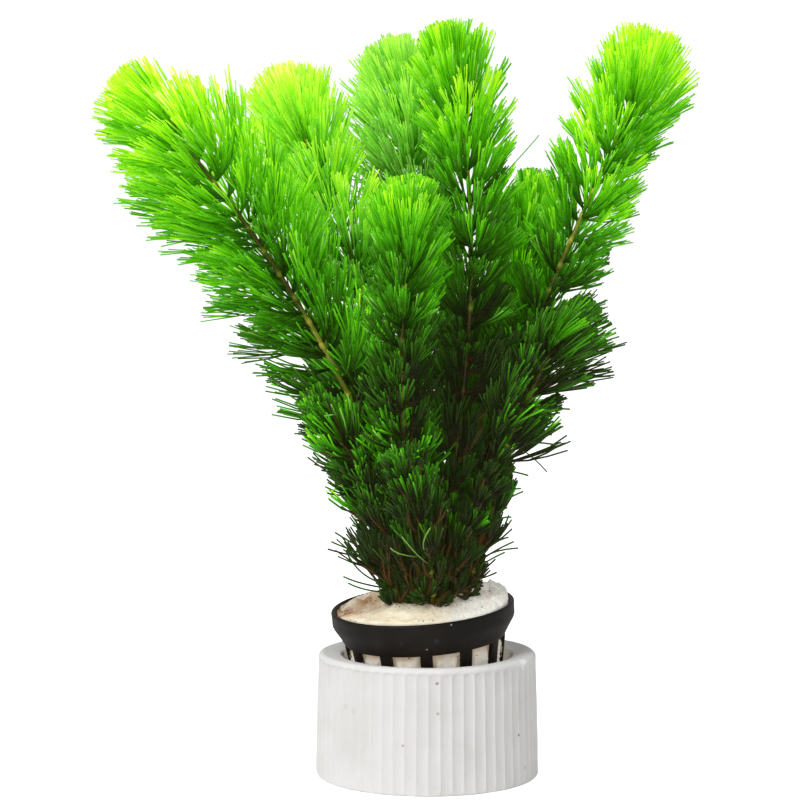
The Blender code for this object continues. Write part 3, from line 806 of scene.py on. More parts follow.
@dataclass(frozen=True)
class WoolFinish:
    """Mineral wool: matted cream fibre, stained orange and brown on the left, with dark grains, giving off
    painted light.
    """

    pale: Colour = colour("F8F0DC")
    cream: Colour = colour("EADAB8")
    white: Colour = colour("FCFBF6")
    stained: Colour = colour("B87428")
    rusty: Colour = colour("7A3A18")
    damp: Colour = colour("4B3F2C")
    cream_share: float = 0.7
    cloud_scale: float = 260.0
    edge_scale: float = 380.0
    roughness: float = 0.95
    gloss: float = 0.15
    # The wool gives off painted light in its own colour, though it is no lamp
    painted_glow: float = 0.17
    specks: Specks = Specks(760.0, 0.24, 0.2, colour("5C543A"), 0.8)
    grain: Grain = Grain(1500.0, 1.5, 0.35 * MM, 0.8)

    def build(self, effects: Effects) -> bpy.types.Material:
        """Makes the material. It reads the values white, stain, rust and damp, each from 0 to 1.

        Args:
            effects: The shared effects.

        Returns:
            The material.
        """
        material, sheet, inputs = new_material("wool_finish", self.roughness, self.gloss)
        place = sheet.place()
        clouds = sheet.mask(sheet.noise(place, self.cloud_scale, 5.0), 0.35, 0.7)
        body = sheet.mix(sheet.math("MULTIPLY", clouds, self.cream_share), self.pale, self.cream)
        body = sheet.mix(sheet.value_of("white"), body, self.white)
        edge = sheet.mask(sheet.noise(place, self.edge_scale, 4.0), 0.28, 0.55)
        for value, shade in (("stain", self.stained), ("rust", self.rusty)):
            body = sheet.mix(sheet.math("MULTIPLY", sheet.value_of(value), edge), body, shade)
        body = sheet.mix(sheet.value_of("damp"), body, self.damp)
        body = self.specks.laid_on(sheet, effects, place, body)
        sheet.feed(inputs["Base Color"], body)
        # Painted light given off by the wool
        sheet.feed(inputs["Emission Color"], body)
        inputs["Emission Strength"].default_value = self.painted_glow
        sheet.feed(inputs["Normal"], self.grain.normal(sheet, effects, place))
        return material


@dataclass(frozen=True)
class LeafFinish:
    """Fresh thread-like leaves: brown and near black in the base, dark green, then bright green and lime.

    greener is how much greener a leaf's tip is than its foot, and patchy how much its green wanders. Near the
    stem painted shade darkens the colour: in the dark base by little, and higher up by much, where light
    falls between. pale is the paler colour of pale threads, of painted highlights and of a painted haze of
    light.
    The leaves also give off painted light in their own colour, though they are no lamp, most where they are
    greenest.
    """

    stops: tuple[tuple[float, Colour], ...] = (
        (0.0, colour("583F1C")),
        (0.08, colour("2C2A18")),
        (0.15, colour("222913")),
        (0.28, colour("2A470D")),
        (0.42, colour("366F0A")),
        (0.56, colour("429A08")),
        (0.7, colour("64BE0C")),
        (0.84, colour("9CDA18")),
        (0.94, colour("C2E62A")),
        (1.0, colour("DAF468")),
    )
    # The colour that pale threads, painted highlights and a painted haze of light mix in
    pale: Colour = colour("9CD060")
    pale_share: float = 0.7
    greener: float = 0.24
    patchy: float = 0.1
    patch_scale: float = 300.0
    # Painted shade near the stem: the colour is multiplied by these, in the dark base and on greener threads
    dimmed_low: Colour = (0.92, 0.92, 0.88)
    painted_shade_high: Colour = (0.27, 0.29, 0.22)
    roughness: float = 0.5
    gloss: float = 0.2
    # Painted light: the leaves give off light in their own colour, though they are no lamp
    painted_glow: float = 0.7
    least_painted_glow: float = 0.5

    def build(self) -> bpy.types.Material:
        """Makes the material. It reads tone, from dead to lime, along, from the stem to the tip, and pale.

        Returns:
            The material.
        """
        material, sheet, inputs = new_material("leaf_finish", self.roughness, self.gloss)
        tone, along = sheet.value_of("tone"), sheet.value_of("along")
        patches = sheet.swing(sheet.noise(sheet.place(), self.patch_scale), 0.5, self.patchy)
        share = sheet.math("ADD", sheet.math("ADD", tone, sheet.swing(along, 0.65, self.greener)), patches)
        # pale: painted highlights on a few tips, a painted haze of light on the back stems, and real pale
        # threads
        milky = sheet.math("MULTIPLY", sheet.value_of("pale"), sheet.mask(along, 0.1, 0.9))
        shade = sheet.ramp(share, self.stops)
        shade = sheet.mix(sheet.math("MULTIPLY", milky, self.pale_share), shade, self.pale)
        # Painted shade near the stem: darker on greener threads, and gone towards the tips
        depth = sheet.mix(sheet.mask(tone, 0.15, 0.42), self.dimmed_low, self.painted_shade_high)
        painted_shade = sheet.mix(sheet.mask(along, -0.1, 0.55), depth, (1.0, 1.0, 1.0))
        lit = sheet.mix(1.0, shade, painted_shade, "MULTIPLY")
        sheet.feed(inputs["Base Color"], lit)
        # Painted light given off by the leaves, most on the greenest threads
        painted_glow_share = sheet.math("MAXIMUM", sheet.mask(tone, 0.15, 0.85), self.least_painted_glow)
        sheet.feed(inputs["Emission Color"], sheet.mix(painted_glow_share, (0.0, 0.0, 0.0), lit))
        inputs["Emission Strength"].default_value = self.painted_glow
        return material


@dataclass(frozen=True)
class StalkFinish:
    """Cut stems: brown and reddish below, olive between, yellow-green where they are young and at nodes."""

    stops: tuple[tuple[float, Colour], ...] = (
        (0.0, colour("3A3214")),
        (0.3, colour("574C17")),
        (0.5, colour("66661A")),
        (0.75, colour("A6AE2C")),
        (1.0, colour("F0DC5C")),
    )
    patchy: float = 0.35
    patch_scale: float = 700.0
    roughness: float = 0.38
    gloss: float = 0.5
    grain: Grain = Grain(900.0, 0.6, 0.08 * MM, 0.6)

    def build(self, effects: Effects) -> bpy.types.Material:
        """Makes the material. It reads tone, from brown to yellow-green.

        Args:
            effects: The shared effects.

        Returns:
            The material.
        """
        material, sheet, inputs = new_material("stalk_finish", self.roughness, self.gloss)
        place = sheet.place()
        patches = sheet.swing(sheet.noise(place, self.patch_scale, 4.0), 0.5, self.patchy)
        tone = sheet.math("ADD", sheet.value_of("tone"), patches)
        sheet.feed(inputs["Base Color"], sheet.ramp(tone, self.stops))
        sheet.feed(inputs["Normal"], self.grain.normal(sheet, effects, place))
        return material


@dataclass
class ClayHolder:
    """The thick-walled cup: flutes run up its wall and end in round arches under a smooth lip.

    chip is the middle of the one broken place in the lip.
    """

    height: float = 34.0 * MM
    top_radius: float = 30.1 * MM
    foot_radius: float = 30.8 * MM
    hole_radius: float = 23.4 * MM
    floor: float = 5.0 * MM
    flutes: int = 60
    flute_depth: float = 0.37 * MM
    flute_top: float = 33.1 * MM
    arch: float = 0.7 * MM
    columns_a_flute: int = 10
    foot_round: float = 0.9 * MM
    lip_round: float = 1.4 * MM
    inner_round: float = 0.9 * MM
    dish: float = 0.6 * MM
    chip: tuple[float, float, float] = (26.1 * MM, -15.2 * MM, 33.3 * MM)
    chip_size: float = 1.9 * MM
    chip_depth: float = 1.0 * MM
    chip_drop: float = 0.7
    # Builds every piece and the studio.
    chip_rough: float = 0.35

    def profile(self) -> Array:
        """The wall's section: under side, foot, outside, lip, dished top and inside.

        Returns:
            The points, each a radius and a height.
        """
        foot = (self.foot_radius - self.foot_round, self.foot_round)
        lip = (self.top_radius - self.lip_round, self.height - self.lip_round)
        upright = self.flute_top - 3 * MM
        inner_top = self.height - self.dish - self.inner_round
        inner = (self.hole_radius + self.inner_round, inner_top)
        bottom = (self.hole_radius - self.inner_round, self.floor + self.inner_round)
        return np.concatenate([
            line((0.0, 0.0), (foot[0], 0.0), 5),
            arc(foot, self.foot_round, -90, 0, 6),
            line((self.foot_radius, foot[1]), (self.top_radius, upright), 18),
            line((self.top_radius, upright), (self.top_radius, lip[1]), 14),
            arc(lip, self.lip_round, 0, 90, 14),
            line((lip[0], self.height), (inner[0], inner_top + self.inner_round), 8),
            arc(inner, self.inner_round, 90, 180, 7),
            line((self.hole_radius, inner_top), (self.hole_radius, bottom[1]), 10),
            arc(bottom, self.inner_round, 0, -90, 4),
            line((bottom[0], self.floor), (0.0, self.floor), 4),
        ])

    def surface(self) -> Surface:
        """The cup's mesh.

        Across a flute with u from -1 to 1 its depth is d(1 - |u|^2.4), times a soft end under the arch
        z = top - a u^2. The chip pushes the lip in by c(1 - (far / size)^2), roughened by small waves.

        Returns:
            The surface, with the values groove and chip.
        """
        section = self.profile()
        columns = self.flutes * self.columns_a_flute
        angles = TURN * np.arange(columns) / columns
        across = np.abs(2.0 * ((np.arange(columns) / self.columns_a_flute) % 1.0) - 1.0)
        radii = np.repeat(section[:, :1], columns, axis=1)
        heights = np.repeat(section[:, 1:], columns, axis=1)
        outside = radii > self.top_radius - self.lip_round
        below_arch = smooth_step((self.flute_top - self.arch * across ** 2 - heights) / MM)
        groove = (1.0 - across ** 2.4) * below_arch * smooth_step(heights / MM + 0.15) * outside
        grid = round_axis(radii, angles, heights)
        resting = smooth_step(heights / MM - 0.3)
        uneven = 0.07 * waves(grid, 22 * MM, 3) + 0.03 * waves(grid, 5 * MM, 4)
        radii = radii - self.flute_depth * groove + uneven * MM * resting
        far = np.linalg.norm(grid - np.array(self.chip), axis=-1) / self.chip_size
        chip = np.clip(1.0 - far ** 2, 0.0, 1.0)
        broken = self.chip_depth * chip * (1.0 + self.chip_rough * waves(grid, 1.4 * MM, 5))
        radii = radii - broken
        heights = heights - self.chip_drop * broken + 0.04 * MM * waves(grid, 15 * MM, 6) * resting
        made = turned(radii, heights, angles)
        made.values["groove"] = np.append(groove.ravel(), (0.0, 0.0))
        made.values["chip"] = np.append(smooth_step(chip * 4.0).ravel(), (0.0, 0.0))
        return made

    def build(self, material: bpy.types.Material) -> None:
        """Puts the cup into the scene."""
        self.surface().piece("holder_cup", material, Slot.CLAY, ["holder"], math.radians(50))


@dataclass
class NetPot:
    """The plastic basket: a rounded rim and a solid band, then twelve ribs with windows down to a base."""

    columns_a_rib: int = 6
    columns_a_window: int = 12
    window_rows: int = 20
    rim_round: float = 0.6 * MM
    rib_bulge: float = 0.18 * MM

    def angles(self) -> tuple[Array, Array, Array]:
        """Where the columns stand, from rib to rib.

        Returns:
            Their angles, each one's place across its rib from -1 to 1, and which start a window cell.
        """
        pitch = TURN / RIBS
        half = pitch * RIB_SHARE / 2
        rib = np.linspace(-half, half, self.columns_a_rib, endpoint=False)
        window = np.linspace(half, pitch - half, self.columns_a_window, endpoint=False)
        one = np.concatenate([rib, window])
        starts = FRONT + pitch * np.arange(RIBS)[:, None]
        across = np.concatenate([rib / half, np.ones(self.columns_a_window)])
        is_window = np.arange(len(one)) >= self.columns_a_rib
        return (starts + one).ravel(), np.tile(across, RIBS), np.tile(is_window, RIBS)

    def section(self) -> tuple[Array, Array, slice]:
        """The wall's section, from the base to the rim.

        Returns:
            The outer and the inner wall, each point a radius and a height, and the window's rows.
        """
        below = line((0.0, -NET_POT_HEIGHT), (BASE_RADIUS, -NET_POT_HEIGHT), 3)
        base = arc((BASE_RADIUS - 0.5 * MM, 0.5 * MM - NET_POT_HEIGHT), 0.5 * MM, -90, -10, 4)
        foot = line((BASE_RADIUS, -NET_POT_HEIGHT + MM), (WINDOW_FOOT_RADIUS, -WINDOW_FOOT), 3)
        shares = np.linspace(0.0, 1.0, self.window_rows)[:, None]
        window = (np.array((WINDOW_FOOT_RADIUS, -WINDOW_FOOT)) * (1.0 - shares)
                  + np.array((BAND_FOOT_RADIUS, -BAND_HEIGHT)) * shares)
        bands = np.array(((BAND_FOOT_RADIUS, -BAND_HEIGHT), (BAND_MIDDLE_RADIUS, -BAND_MIDDLE),
                          (RIM_RADIUS, -self.rim_round)))
        height = -BAND_HEIGHT + (BAND_HEIGHT - self.rim_round) * np.linspace(0.0, 1.0, 14)[1:]
        radius = np.interp(height, bands[:, 1], bands[:, 0])
        radius = radius + 0.25 * MM * np.exp(-((height + BAND_MIDDLE) / (2.2 * MM)) ** 2)
        band = np.stack([radius, height], axis=1)
        outer = np.concatenate([below, base, foot, window, band])
        first = len(below) + len(base) + len(foot)
        inner = outer[first:] - np.array((NET_POT_WALL, 0.0))
        return outer, inner, slice(first, first + self.window_rows)

    def surface(self) -> Surface:
        """The basket's mesh: one turned surface without the window cells, and walls round each window.

        Returns:
            The surface, in the world's frame.
        """
        angles, across, is_window = self.angles()
        outer, inner, window = self.section()
        rim = arc((RIM_RADIUS - self.rim_round, -self.rim_round), self.rim_round, 15, 165, 9)
        floor_height = BASE_THICKNESS - NET_POT_HEIGHT
        floor = line((inner[0, 0], floor_height), (0.0, floor_height), 4)
        profile = np.concatenate([outer, rim, inner[::-1], floor])
        rows, columns = len(profile), len(angles)
        radii = np.repeat(profile[:, :1], columns, axis=1)
        heights = np.repeat(profile[:, 1:], columns, axis=1)
        bulge = self.rib_bulge * (1.0 - across ** 2)
        inside = smooth_step((-BAND_HEIGHT - heights) / (1.5 * MM))
        outer_rows = np.arange(rows)[:, None] < len(outer)
        made = turned(radii + bulge * inside * outer_rows, heights, angles)
        outside = np.arange(window.start, window.stop)
        inner_rows = len(outer) + len(rim) + len(inner) - 1 - (outside - window.start)
        keep = np.ones((rows - 1, columns), bool)
        keep[np.ix_(outside[:-1], is_window)] = False
        keep[np.ix_(inner_rows[1:], is_window)] = False
        index = np.arange(rows * columns).reshape(rows, columns)
        after = np.roll(index, -1, axis=1)
        opens = is_window & ~np.roll(is_window, 1)
        closes = is_window & ~np.roll(is_window, -1)
        walls = [self.side_walls(index, outside, inner_rows, opens),
                 self.side_walls(after, outside, inner_rows, closes)[:, ::-1]]
        for low, high in ((outside[0], inner_rows[0]), (inner_rows[-1], outside[-1])):
            corners = np.stack([index[low], after[low], after[high], index[high]], axis=-1)
            walls.append(corners[is_window])
        made.faces = [made.faces[0][keep.ravel()], *walls, *made.faces[1:]]
        made.points = moved(made.points, net_pot_place())
        return made

    @staticmethod
    def side_walls(index: Array, outside: Array, inside: Array, chosen: Array) -> Array:
        """The faces between the outer and inner wall up the chosen columns, seen from the window."""
        outer, inner = index[outside][:, chosen], index[inside][:, chosen]
        return np.stack([inner[:-1], inner[1:], outer[1:], outer[:-1]], axis=-1).reshape(-1, 4)

    def build(self, material: bpy.types.Material) -> None:
        """Puts the basket into the scene."""
        self.surface().piece("net_pot_basket", material, Slot.POT_PLASTIC, ["net_pot"], math.radians(40))


@dataclass(frozen=True)
class Stain:
    """A stain on the wool's top: its place in the net pot's frame and its width, in mm.

    strength is its orange share and rust its dark red-brown share.
    """

    x: float
    y: float
    width: float
    strength: float
    rust: float = 0.0


@dataclass
class WoolPlug:
    """The matted plug that fills the net pot, bulging a little into its windows, with loose fibres.

    swell is the place, height and width in mm of the bell that stands over the rim. Each lump is the length
    and the height in mm of one set of waves, and the right half is lumpier by the share rough_right.
    """

    columns: int = 360
    top_rows: int = 60
    wall_rows: int = 56
    bulge: float = 0.9 * MM
    swell: tuple[float, float, float, float] = (20.0, 1.0, 1.6, 8.0)
    lumps: tuple[tuple[float, float], ...] = ((6.0, 0.36), (2.4, 0.24), (1.1, 0.14))
    rough_right: float = 0.5
    # How much whiter the right half is: partly bleaching, partly painted light
    bleached_and_painted_light: float = 0.85
    bleached_windows: float = 0.55
    stained_ribs: float = 0.4
    dampest: float = 0.75
    fibres: int = 1900
    fibre_rings: int = 5
    fibre_lengths: tuple[float, float] = (1.2, 4.2)
    fibre_radius: float = 0.045 * MM
    fibres_on_top: float = 0.62
    stains: tuple[Stain, ...] = (
        Stain(-22.5, -3.0, 4.0, 1.0, 0.2),
        Stain(-21.0, 3.0, 3.0, 0.9, 0.8),
        Stain(-15.0, 9.0, 3.5, 0.9, 0.2),
        Stain(-17.5, -8.0, 4.0, 0.45),
        Stain(-12.0, 1.0, 5.0, 0.3, 0.1),
        Stain(17.0, -4.0, 2.5, 0.3),
        Stain(7.5, -8.5, 1.2, 1.0, 0.9),
    )

    def section(self) -> tuple[Array, Array]:
        """The plug's wall, from the floor up to where its top begins.

        Returns:
            The rows' radii and their heights.
        """
        foot = BASE_THICKNESS + GAP - NET_POT_HEIGHT
        heights = np.array((foot, -WINDOW_FOOT, -BAND_HEIGHT, -BAND_MIDDLE, -0.4 * MM))
        radii = np.array((BASE_RADIUS, WINDOW_FOOT_RADIUS, BAND_FOOT_RADIUS, BAND_MIDDLE_RADIUS, RIM_RADIUS))
        radii = radii - (NET_POT_WALL + GAP)
        rows = np.linspace(heights[0], heights[-1], self.wall_rows)
        return np.interp(rows, heights, radii), rows

    def roughened(self, places: Array) -> Array:
        """The lumps: waves of a few lengths, each with its own height.

        Args:
            places: Points in the net pot's frame.

        Returns:
            The lumps' height at each of them, in metres.
        """
        total = np.zeros(places.shape[:-1])
        for number, (length, rise) in enumerate(self.lumps):
            total += rise * MM * waves(places, length * MM, 20 + number)
        return total

    def top(self, x: Array, y: Array) -> Array:
        """The wool's top with its lumps, and with a bell where it swells over the rim.

        Args:
            x: Places along the net pot's X, in metres.
            y: Places along its Y.

        Returns:
            The heights, in metres.
        """
        flat = np.stack([x, y, np.zeros_like(x)], axis=-1)
        edge = smooth_step((RIM_RADIUS - NET_POT_WALL - GAP - np.hypot(x, y)) / (2.0 * MM))
        swell_x, swell_y, rise, width = self.swell
        swell = rise * MM * np.exp(-(np.hypot(x - swell_x * MM, y - swell_y * MM) / (width * MM)) ** 2)
        lumpy = 1.0 + self.rough_right * smooth_step((x - 6 * MM) / (8 * MM))
        return wool_height(x, y) + swell + self.roughened(flat) * (0.4 + 0.6 * edge) * lumpy

    def window_share(self, angles: Array, heights: Array) -> Array:
        """How far inside a window a place is.

        Args:
            angles: The angle round the net pot, in radians.
            heights: The height in its frame.

        Returns:
            1 in the middle of a window, falling to 0 at its edges.
        """
        turn = np.abs(((angles - FRONT) * RIBS / TURN) % 1.0 - 0.5) * 2.0
        sideways = smooth_step((1.0 - RIB_SHARE - turn) / 0.35)
        above = smooth_step((heights + WINDOW_FOOT) / (3 * MM))
        return sideways * above * smooth_step((-BAND_HEIGHT - heights) / (3 * MM))

    def colours(self, made: Surface) -> None:
        """Sets the values stain, rust, white and damp.

        Stain and rust are a bell for each stain, and damp one for each stem. The right half is whiter, partly
        by bleaching and partly as painted light; the middle of each window is paler by bleaching, while the
        wool that meets the ribs is stained.

        Args:
            made: The surface that gets the values.
        """
        points = made.points
        stain, rust = np.zeros((2, len(points)))
        for spot in self.stains:
            far = np.hypot(points[:, 0] - spot.x * MM, points[:, 1] - spot.y * MM) / (spot.width * MM)
            stain += spot.strength * np.exp(-far ** 2)
            rust += spot.rust * np.exp(-far ** 2)
        feet = np.array([plan.foot for plan in STEMS]) * MM
        nearest = np.linalg.norm(points[:, None, :2] - feet[None], axis=-1).min(axis=1)
        over = smooth_step((points[:, 2] + 3 * MM) / (2 * MM))
        under = 1.0 - over
        shown = self.window_share(np.arctan2(points[:, 1], points[:, 0]), points[:, 2])
        right = smooth_step((points[:, 0] - 2 * MM) / (10 * MM))
        made.values["stain"] = np.clip(stain, 0.0, 1.0) * over + under * self.stained_ribs * (1.0 - shown)
        made.values["rust"] = np.clip(rust, 0.0, 1.0) * over
        # white: on the right partly painted light, in the windows bleaching
        made.values["white"] = self.bleached_and_painted_light * right * over + self.bleached_windows * shown * under
        made.values["damp"] = self.dampest * np.exp(-(nearest / (1.8 * MM)) ** 2) * over

    def plug(self) -> Surface:
        """The plug's mesh: a turned wall with bulges in the windows, and rings over its lumpy top.

        Returns:
            The surface with its colours, in the net pot's frame.
        """
        radii, heights = self.section()
        angles = TURN * np.arange(self.columns) / self.columns
        wall_radii = np.repeat(radii[:, None], self.columns, axis=1)
        wall_heights = np.repeat(heights[:, None], self.columns, axis=1)
        open_share = self.window_share(angles[None], wall_heights)
        rough = self.roughened(round_axis(wall_radii, angles, wall_heights))
        pressed = (1.0 - open_share) * np.abs(rough) / 2
        wall_radii = wall_radii + open_share * (self.bulge + 1.2 * rough) - pressed
        shares = np.linspace(1.0, 0.0, self.top_rows + 1)[:-1, None]
        top_radii = np.repeat((radii[-1] - 0.15 * MM) * shares, self.columns, axis=1)
        top_heights = self.top(top_radii * np.cos(angles), top_radii * np.sin(angles))
        made = turned(np.concatenate([wall_radii[:1] / 2, wall_radii, top_radii]),
                      np.concatenate([wall_heights[:1], wall_heights, top_heights]), angles)
        self.colours(made)
        return made

    def threads(self) -> Surface:
        """Loose fibres: short threads on the top and in the windows, each turning evenly about its middle.

        Returns:
            The surface with its colours, in the net pot's frame.
        """
        chance = np.random.default_rng(31)
        count = self.fibres
        on_top = chance.uniform(size=count) < self.fibres_on_top
        angle = chance.uniform(0.0, TURN, count)
        reach = (RIM_RADIUS - 2.6 * MM) * np.sqrt(chance.uniform(size=count))
        spot = np.stack([reach * np.cos(angle), reach * np.sin(angle)], axis=-1)
        heading = chance.uniform(0.0, TURN, count)
        length = chance.uniform(*self.fibre_lengths, count) * MM
        steps = np.linspace(-0.5, 0.5, self.fibre_rings)
        turn = heading[:, None] + chance.normal(0.0, 1.0, count)[:, None] * steps
        x = spot[:, :1] + length[:, None] * steps * np.cos(turn)
        y = spot[:, 1:] + length[:, None] * steps * np.sin(turn)
        curve = chance.uniform(-1.0, 1.0, count)[:, None]
        lift = chance.uniform(0.0, 0.5, count)[:, None] * MM * (1.0 + 2.0 * np.abs(steps) * curve)
        flat = np.stack([x, y, self.top(x, y) + lift], axis=-1)
        pitch = TURN / RIBS
        middle = FRONT + pitch * (chance.integers(0, RIBS, count) + 0.5)
        sideways = middle + chance.uniform(-0.5, 0.5, count) * pitch * (1 - RIB_SHARE)
        rise = chance.uniform(-WINDOW_FOOT + 4 * MM, -BAND_HEIGHT - MM, count)
        radii, heights = self.section()
        z = rise[:, None] + 0.6 * length[:, None] * steps * np.sin(turn)
        around = sideways[:, None] + 0.6 * length[:, None] * steps * np.cos(turn) / (20 * MM)
        open_share = self.window_share(around, z)
        out = np.interp(z, heights, radii) + (self.bulge + lift) * open_share
        upright = round_axis(out, around, z)
        centres = np.where(on_top[:, None, None], flat, upright)
        widths = np.full((count, self.fibre_rings), self.fibre_radius)
        made = threads_along(centres, np.array((0.31, 0.17, 0.94)), widths, 3)
        self.colours(made)
        return made

    def build(self, material: bpy.types.Material) -> None:
        """Puts the plug and its loose fibres into the scene as one piece.

        Args:
            material: Their material.
        """
        made = Surface.joined([self.plug(), self.threads()])
        made.points = moved(made.points, net_pot_place())
        made.piece("wool_plug", material, Slot.WOOL, ["wool"])


class StemPath:
    """A stem's centre line: a cubic curve through its foot, two handles and its tip, read by distance."""

    def __init__(self, plan: StemPlan) -> None:
        """Works the line out as 400 points: sum of (1-t)^3 P0, 3(1-t)^2 t P1, 3(1-t) t^2 P2 and t^3 P3.

        Args:
            plan: The cutting's plan.
        """
        x, y = (np.array(number * MM) for number in plan.foot)
        top = wool_height(x, y)
        ends = moved(np.array([(x, y, top), (x, y, top - SOCKET_DEPTH)]), net_pot_place())
        bends = (plan.low_handle, plan.high_handle, plan.tip)
        corners = np.array([ends[0], *(np.array(bend) * MM for bend in bends)])
        t = np.linspace(0.0, 1.0, 400)[:, None]
        weights = np.concatenate([(1 - t) ** 3, 3 * (1 - t) ** 2 * t, 3 * (1 - t) * t ** 2, t ** 3], axis=1)
        self.plan = plan
        self.buried_end = ends[1]
        self.points = weights @ corners
        steps = np.linalg.norm(np.diff(self.points, axis=0), axis=1)
        self.lengths = np.concatenate([[0.0], np.cumsum(steps)])
        self.length = self.lengths[-1]
        self.axes = scaled(np.gradient(self.points, axis=0))

    def at(self, distance: Array) -> tuple[Array, Array]:
        """Reads the line. Past its tip it runs on straight.

        Args:
            distance: Distances along it from the wool's top, in metres.

        Returns:
            The places and the directions there.
        """
        inside = np.clip(distance, 0.0, self.length)
        place = np.stack([np.interp(inside, self.lengths, row) for row in self.points.T], axis=-1)
        axis = scaled(np.stack([np.interp(inside, self.lengths, row) for row in self.axes.T], axis=-1))
        return place + axis * (distance - inside)[..., None], axis

    @staticmethod
    def square_to(axis: Array) -> tuple[Array, Array]:
        """Two unit vectors square to each axis: X without its share along it, and the cross of both."""
        side = scaled(np.array((1.0, 0.0, 0.0)) - axis[..., :1] * axis)
        return side, np.cross(axis, side)


@dataclass
class Stalk:
    """The stem itself: a tube that thins to its tip and swells a little where leaves leave it."""

    path: StemPath
    seed: int
    foot_radius: float = 1.0 * MM
    tip_radius: float = 0.5 * MM
    step: float = 0.7 * MM
    sides: int = 10
    node_gap: float = 7.5 * MM
    swelling: float = 0.28

    def radius(self, distance: Array) -> Array:
        """The radius at a distance: it falls evenly from the foot to the tip."""
        share = np.clip(distance / self.path.length, 0.0, 1.0)
        return self.foot_radius + (self.tip_radius - self.foot_radius) * share

    def surface(self) -> Surface:
        """The tube's mesh, with swellings r(1 + s exp(-(d / 0.7 mm)^2)) at its nodes.

        Returns:
            The surface, with the value tone, which rises with height, in patches and at the nodes.
        """
        chance = np.random.default_rng(self.seed)
        stops = np.arange(0.0, self.path.length, self.step)
        centres, axes = self.path.at(stops)
        centres = np.concatenate([self.path.buried_end[None], centres])
        axes = np.concatenate([axes[:1], axes])
        stops = np.concatenate([[-SOCKET_DEPTH], stops])
        side, up = StemPath.square_to(axes)
        nodes = np.arange(self.path.length, 0.0, -self.node_gap) + chance.uniform(-1.5, 1.5) * MM
        near = np.abs(stops[:, None] - nodes[None]).min(axis=1)
        at_node = np.exp(-(near / (0.7 * MM)) ** 2)
        widths = self.radius(stops) * (1.0 + self.swelling * at_node)
        made = tubes(centres[None], side[None], up[None], widths[None], self.sides)
        height = np.clip((centres[:, 2] - 60 * MM) / (120 * MM), 0.0, 1.0)
        patch = waves(centres, 26 * MM, self.seed, 12)
        tone = 0.2 + 0.48 * height + 0.22 * patch + 0.36 * at_node
        made.values["tone"] = np.repeat(np.clip(tone, 0.0, 1.0), self.sides)
        return made

    def build(self, material: bpy.types.Material) -> None:
        """Puts the stalk into the scene."""
        name = self.path.plan.name
        self.surface().piece(name + "_stalk", material, self.path.plan.slot, [name + "_stem"])


@dataclass(frozen=True)
class Fork:
    """One generation of a leaf's threads.

    Each thread before it forks into so many branches, spread degrees apart and up to lift degrees up or down.
    They end at the share until of the leaf's length. mid says whether they have a ring half-way.
    """

    branches: int
    spread: float
    lift: float
    until: float
    radius: float
    mid: bool = False


@dataclass(frozen=True)
class Stray:
    """A loose thread: how high it leaves its stem, a place that bends it, its end and its radius, all in mm.

    tone is how green it is and pale how milky.
    """

    leaves_at: float
    bend: tuple[float, float, float]
    end: tuple[float, float, float]
    tone: float
    radius: float = 0.24
    pale: float = 0.0


STRAYS = {
    "low_left": (
        Stray(53, (-18, -9, 54), (-22.1, -10, 62.8), 0.3),
        Stray(52, (-18, -9, 53.4), (-22.9, -10, 56), 0.28),
        Stray(51, (-17, -9, 51.5), (-21.6, -10, 54.2), 0.34),
        Stray(60, (-18, -12, 62), (-26, -14, 66), 0.3),
        Stray(60, (-18, -12, 61), (-27, -14, 64), 0.04),
        Stray(60, (-17, -12, 63), (-25, -14, 68.5), 0.26),
    ),
    "low_right": (
        Stray(58, (16, -7, 63), (24.7, -8, 63.5), 0.3),
        Stray(58, (16, -8, 62), (23.4, -9, 65.4), 0.25),
        Stray(57, (16, -8, 60), (21, -9, 62.5), 0.33),
        Stray(59, (17, -6, 65), (22, -8, 66.5), 0.28),
        Stray(66, (17, -6, 72), (22.8, -8, 72), 0.36),
        Stray(66, (17, -6, 73), (21.7, -8, 74.6), 0.32),
        Stray(54, (15, -7, 57), (18.5, -8, 60.5), 0.06),
        Stray(54, (15, -8, 55), (18.8, -9, 57), 0.02),
        Stray(72, (19, -6, 76), (26, -8, 79), 0.36),
    ),
    "middle_right": (
        Stray(90, (24, -14, 94), (33.5, -16, 92.5), 0.24),
        Stray(90, (23, -14, 95), (32, -15, 85), 0.24, 0.17),
        Stray(84, (20, -12, 86), (27, -15, 84), 0.3),
        Stray(80, (20, -12, 80), (25, -15, 80.5), 0.3),
        Stray(98, (27, -16, 103), (38, -17, 102), 0.3),
    ),
    "tall_centre": (
        Stray(156, (22, -14, 166), (29.5, -16, 175), 0.5, 0.14),
    ),
    "low_front": (
        Stray(62, (-8, -23, 63), (-10, -28, 66), 0.3, 0.16, 0.8),
        Stray(62, (-3, -24, 66), (0.5, -29, 71.5), 0.3, 0.16, 0.8),
        Stray(60, (-2, -24, 62), (-7, -28, 69), 0.3, 0.16, 0.7),
    ),
}


@dataclass
class Fans:
    """The leaves of one stem before they fork: each array has one row for each leaf."""

    place: Array
    axis: Array
    out: Array
    angle: Array
    length: Array
    opened: Array
    curl: Array
    grown: Array
    bent: Array
    own: Array

    def chosen(self, rows: Array) -> "Fans":
        """Only these leaves."""
        return Fans(*(getattr(self, item.name)[rows] for item in fields(self)))


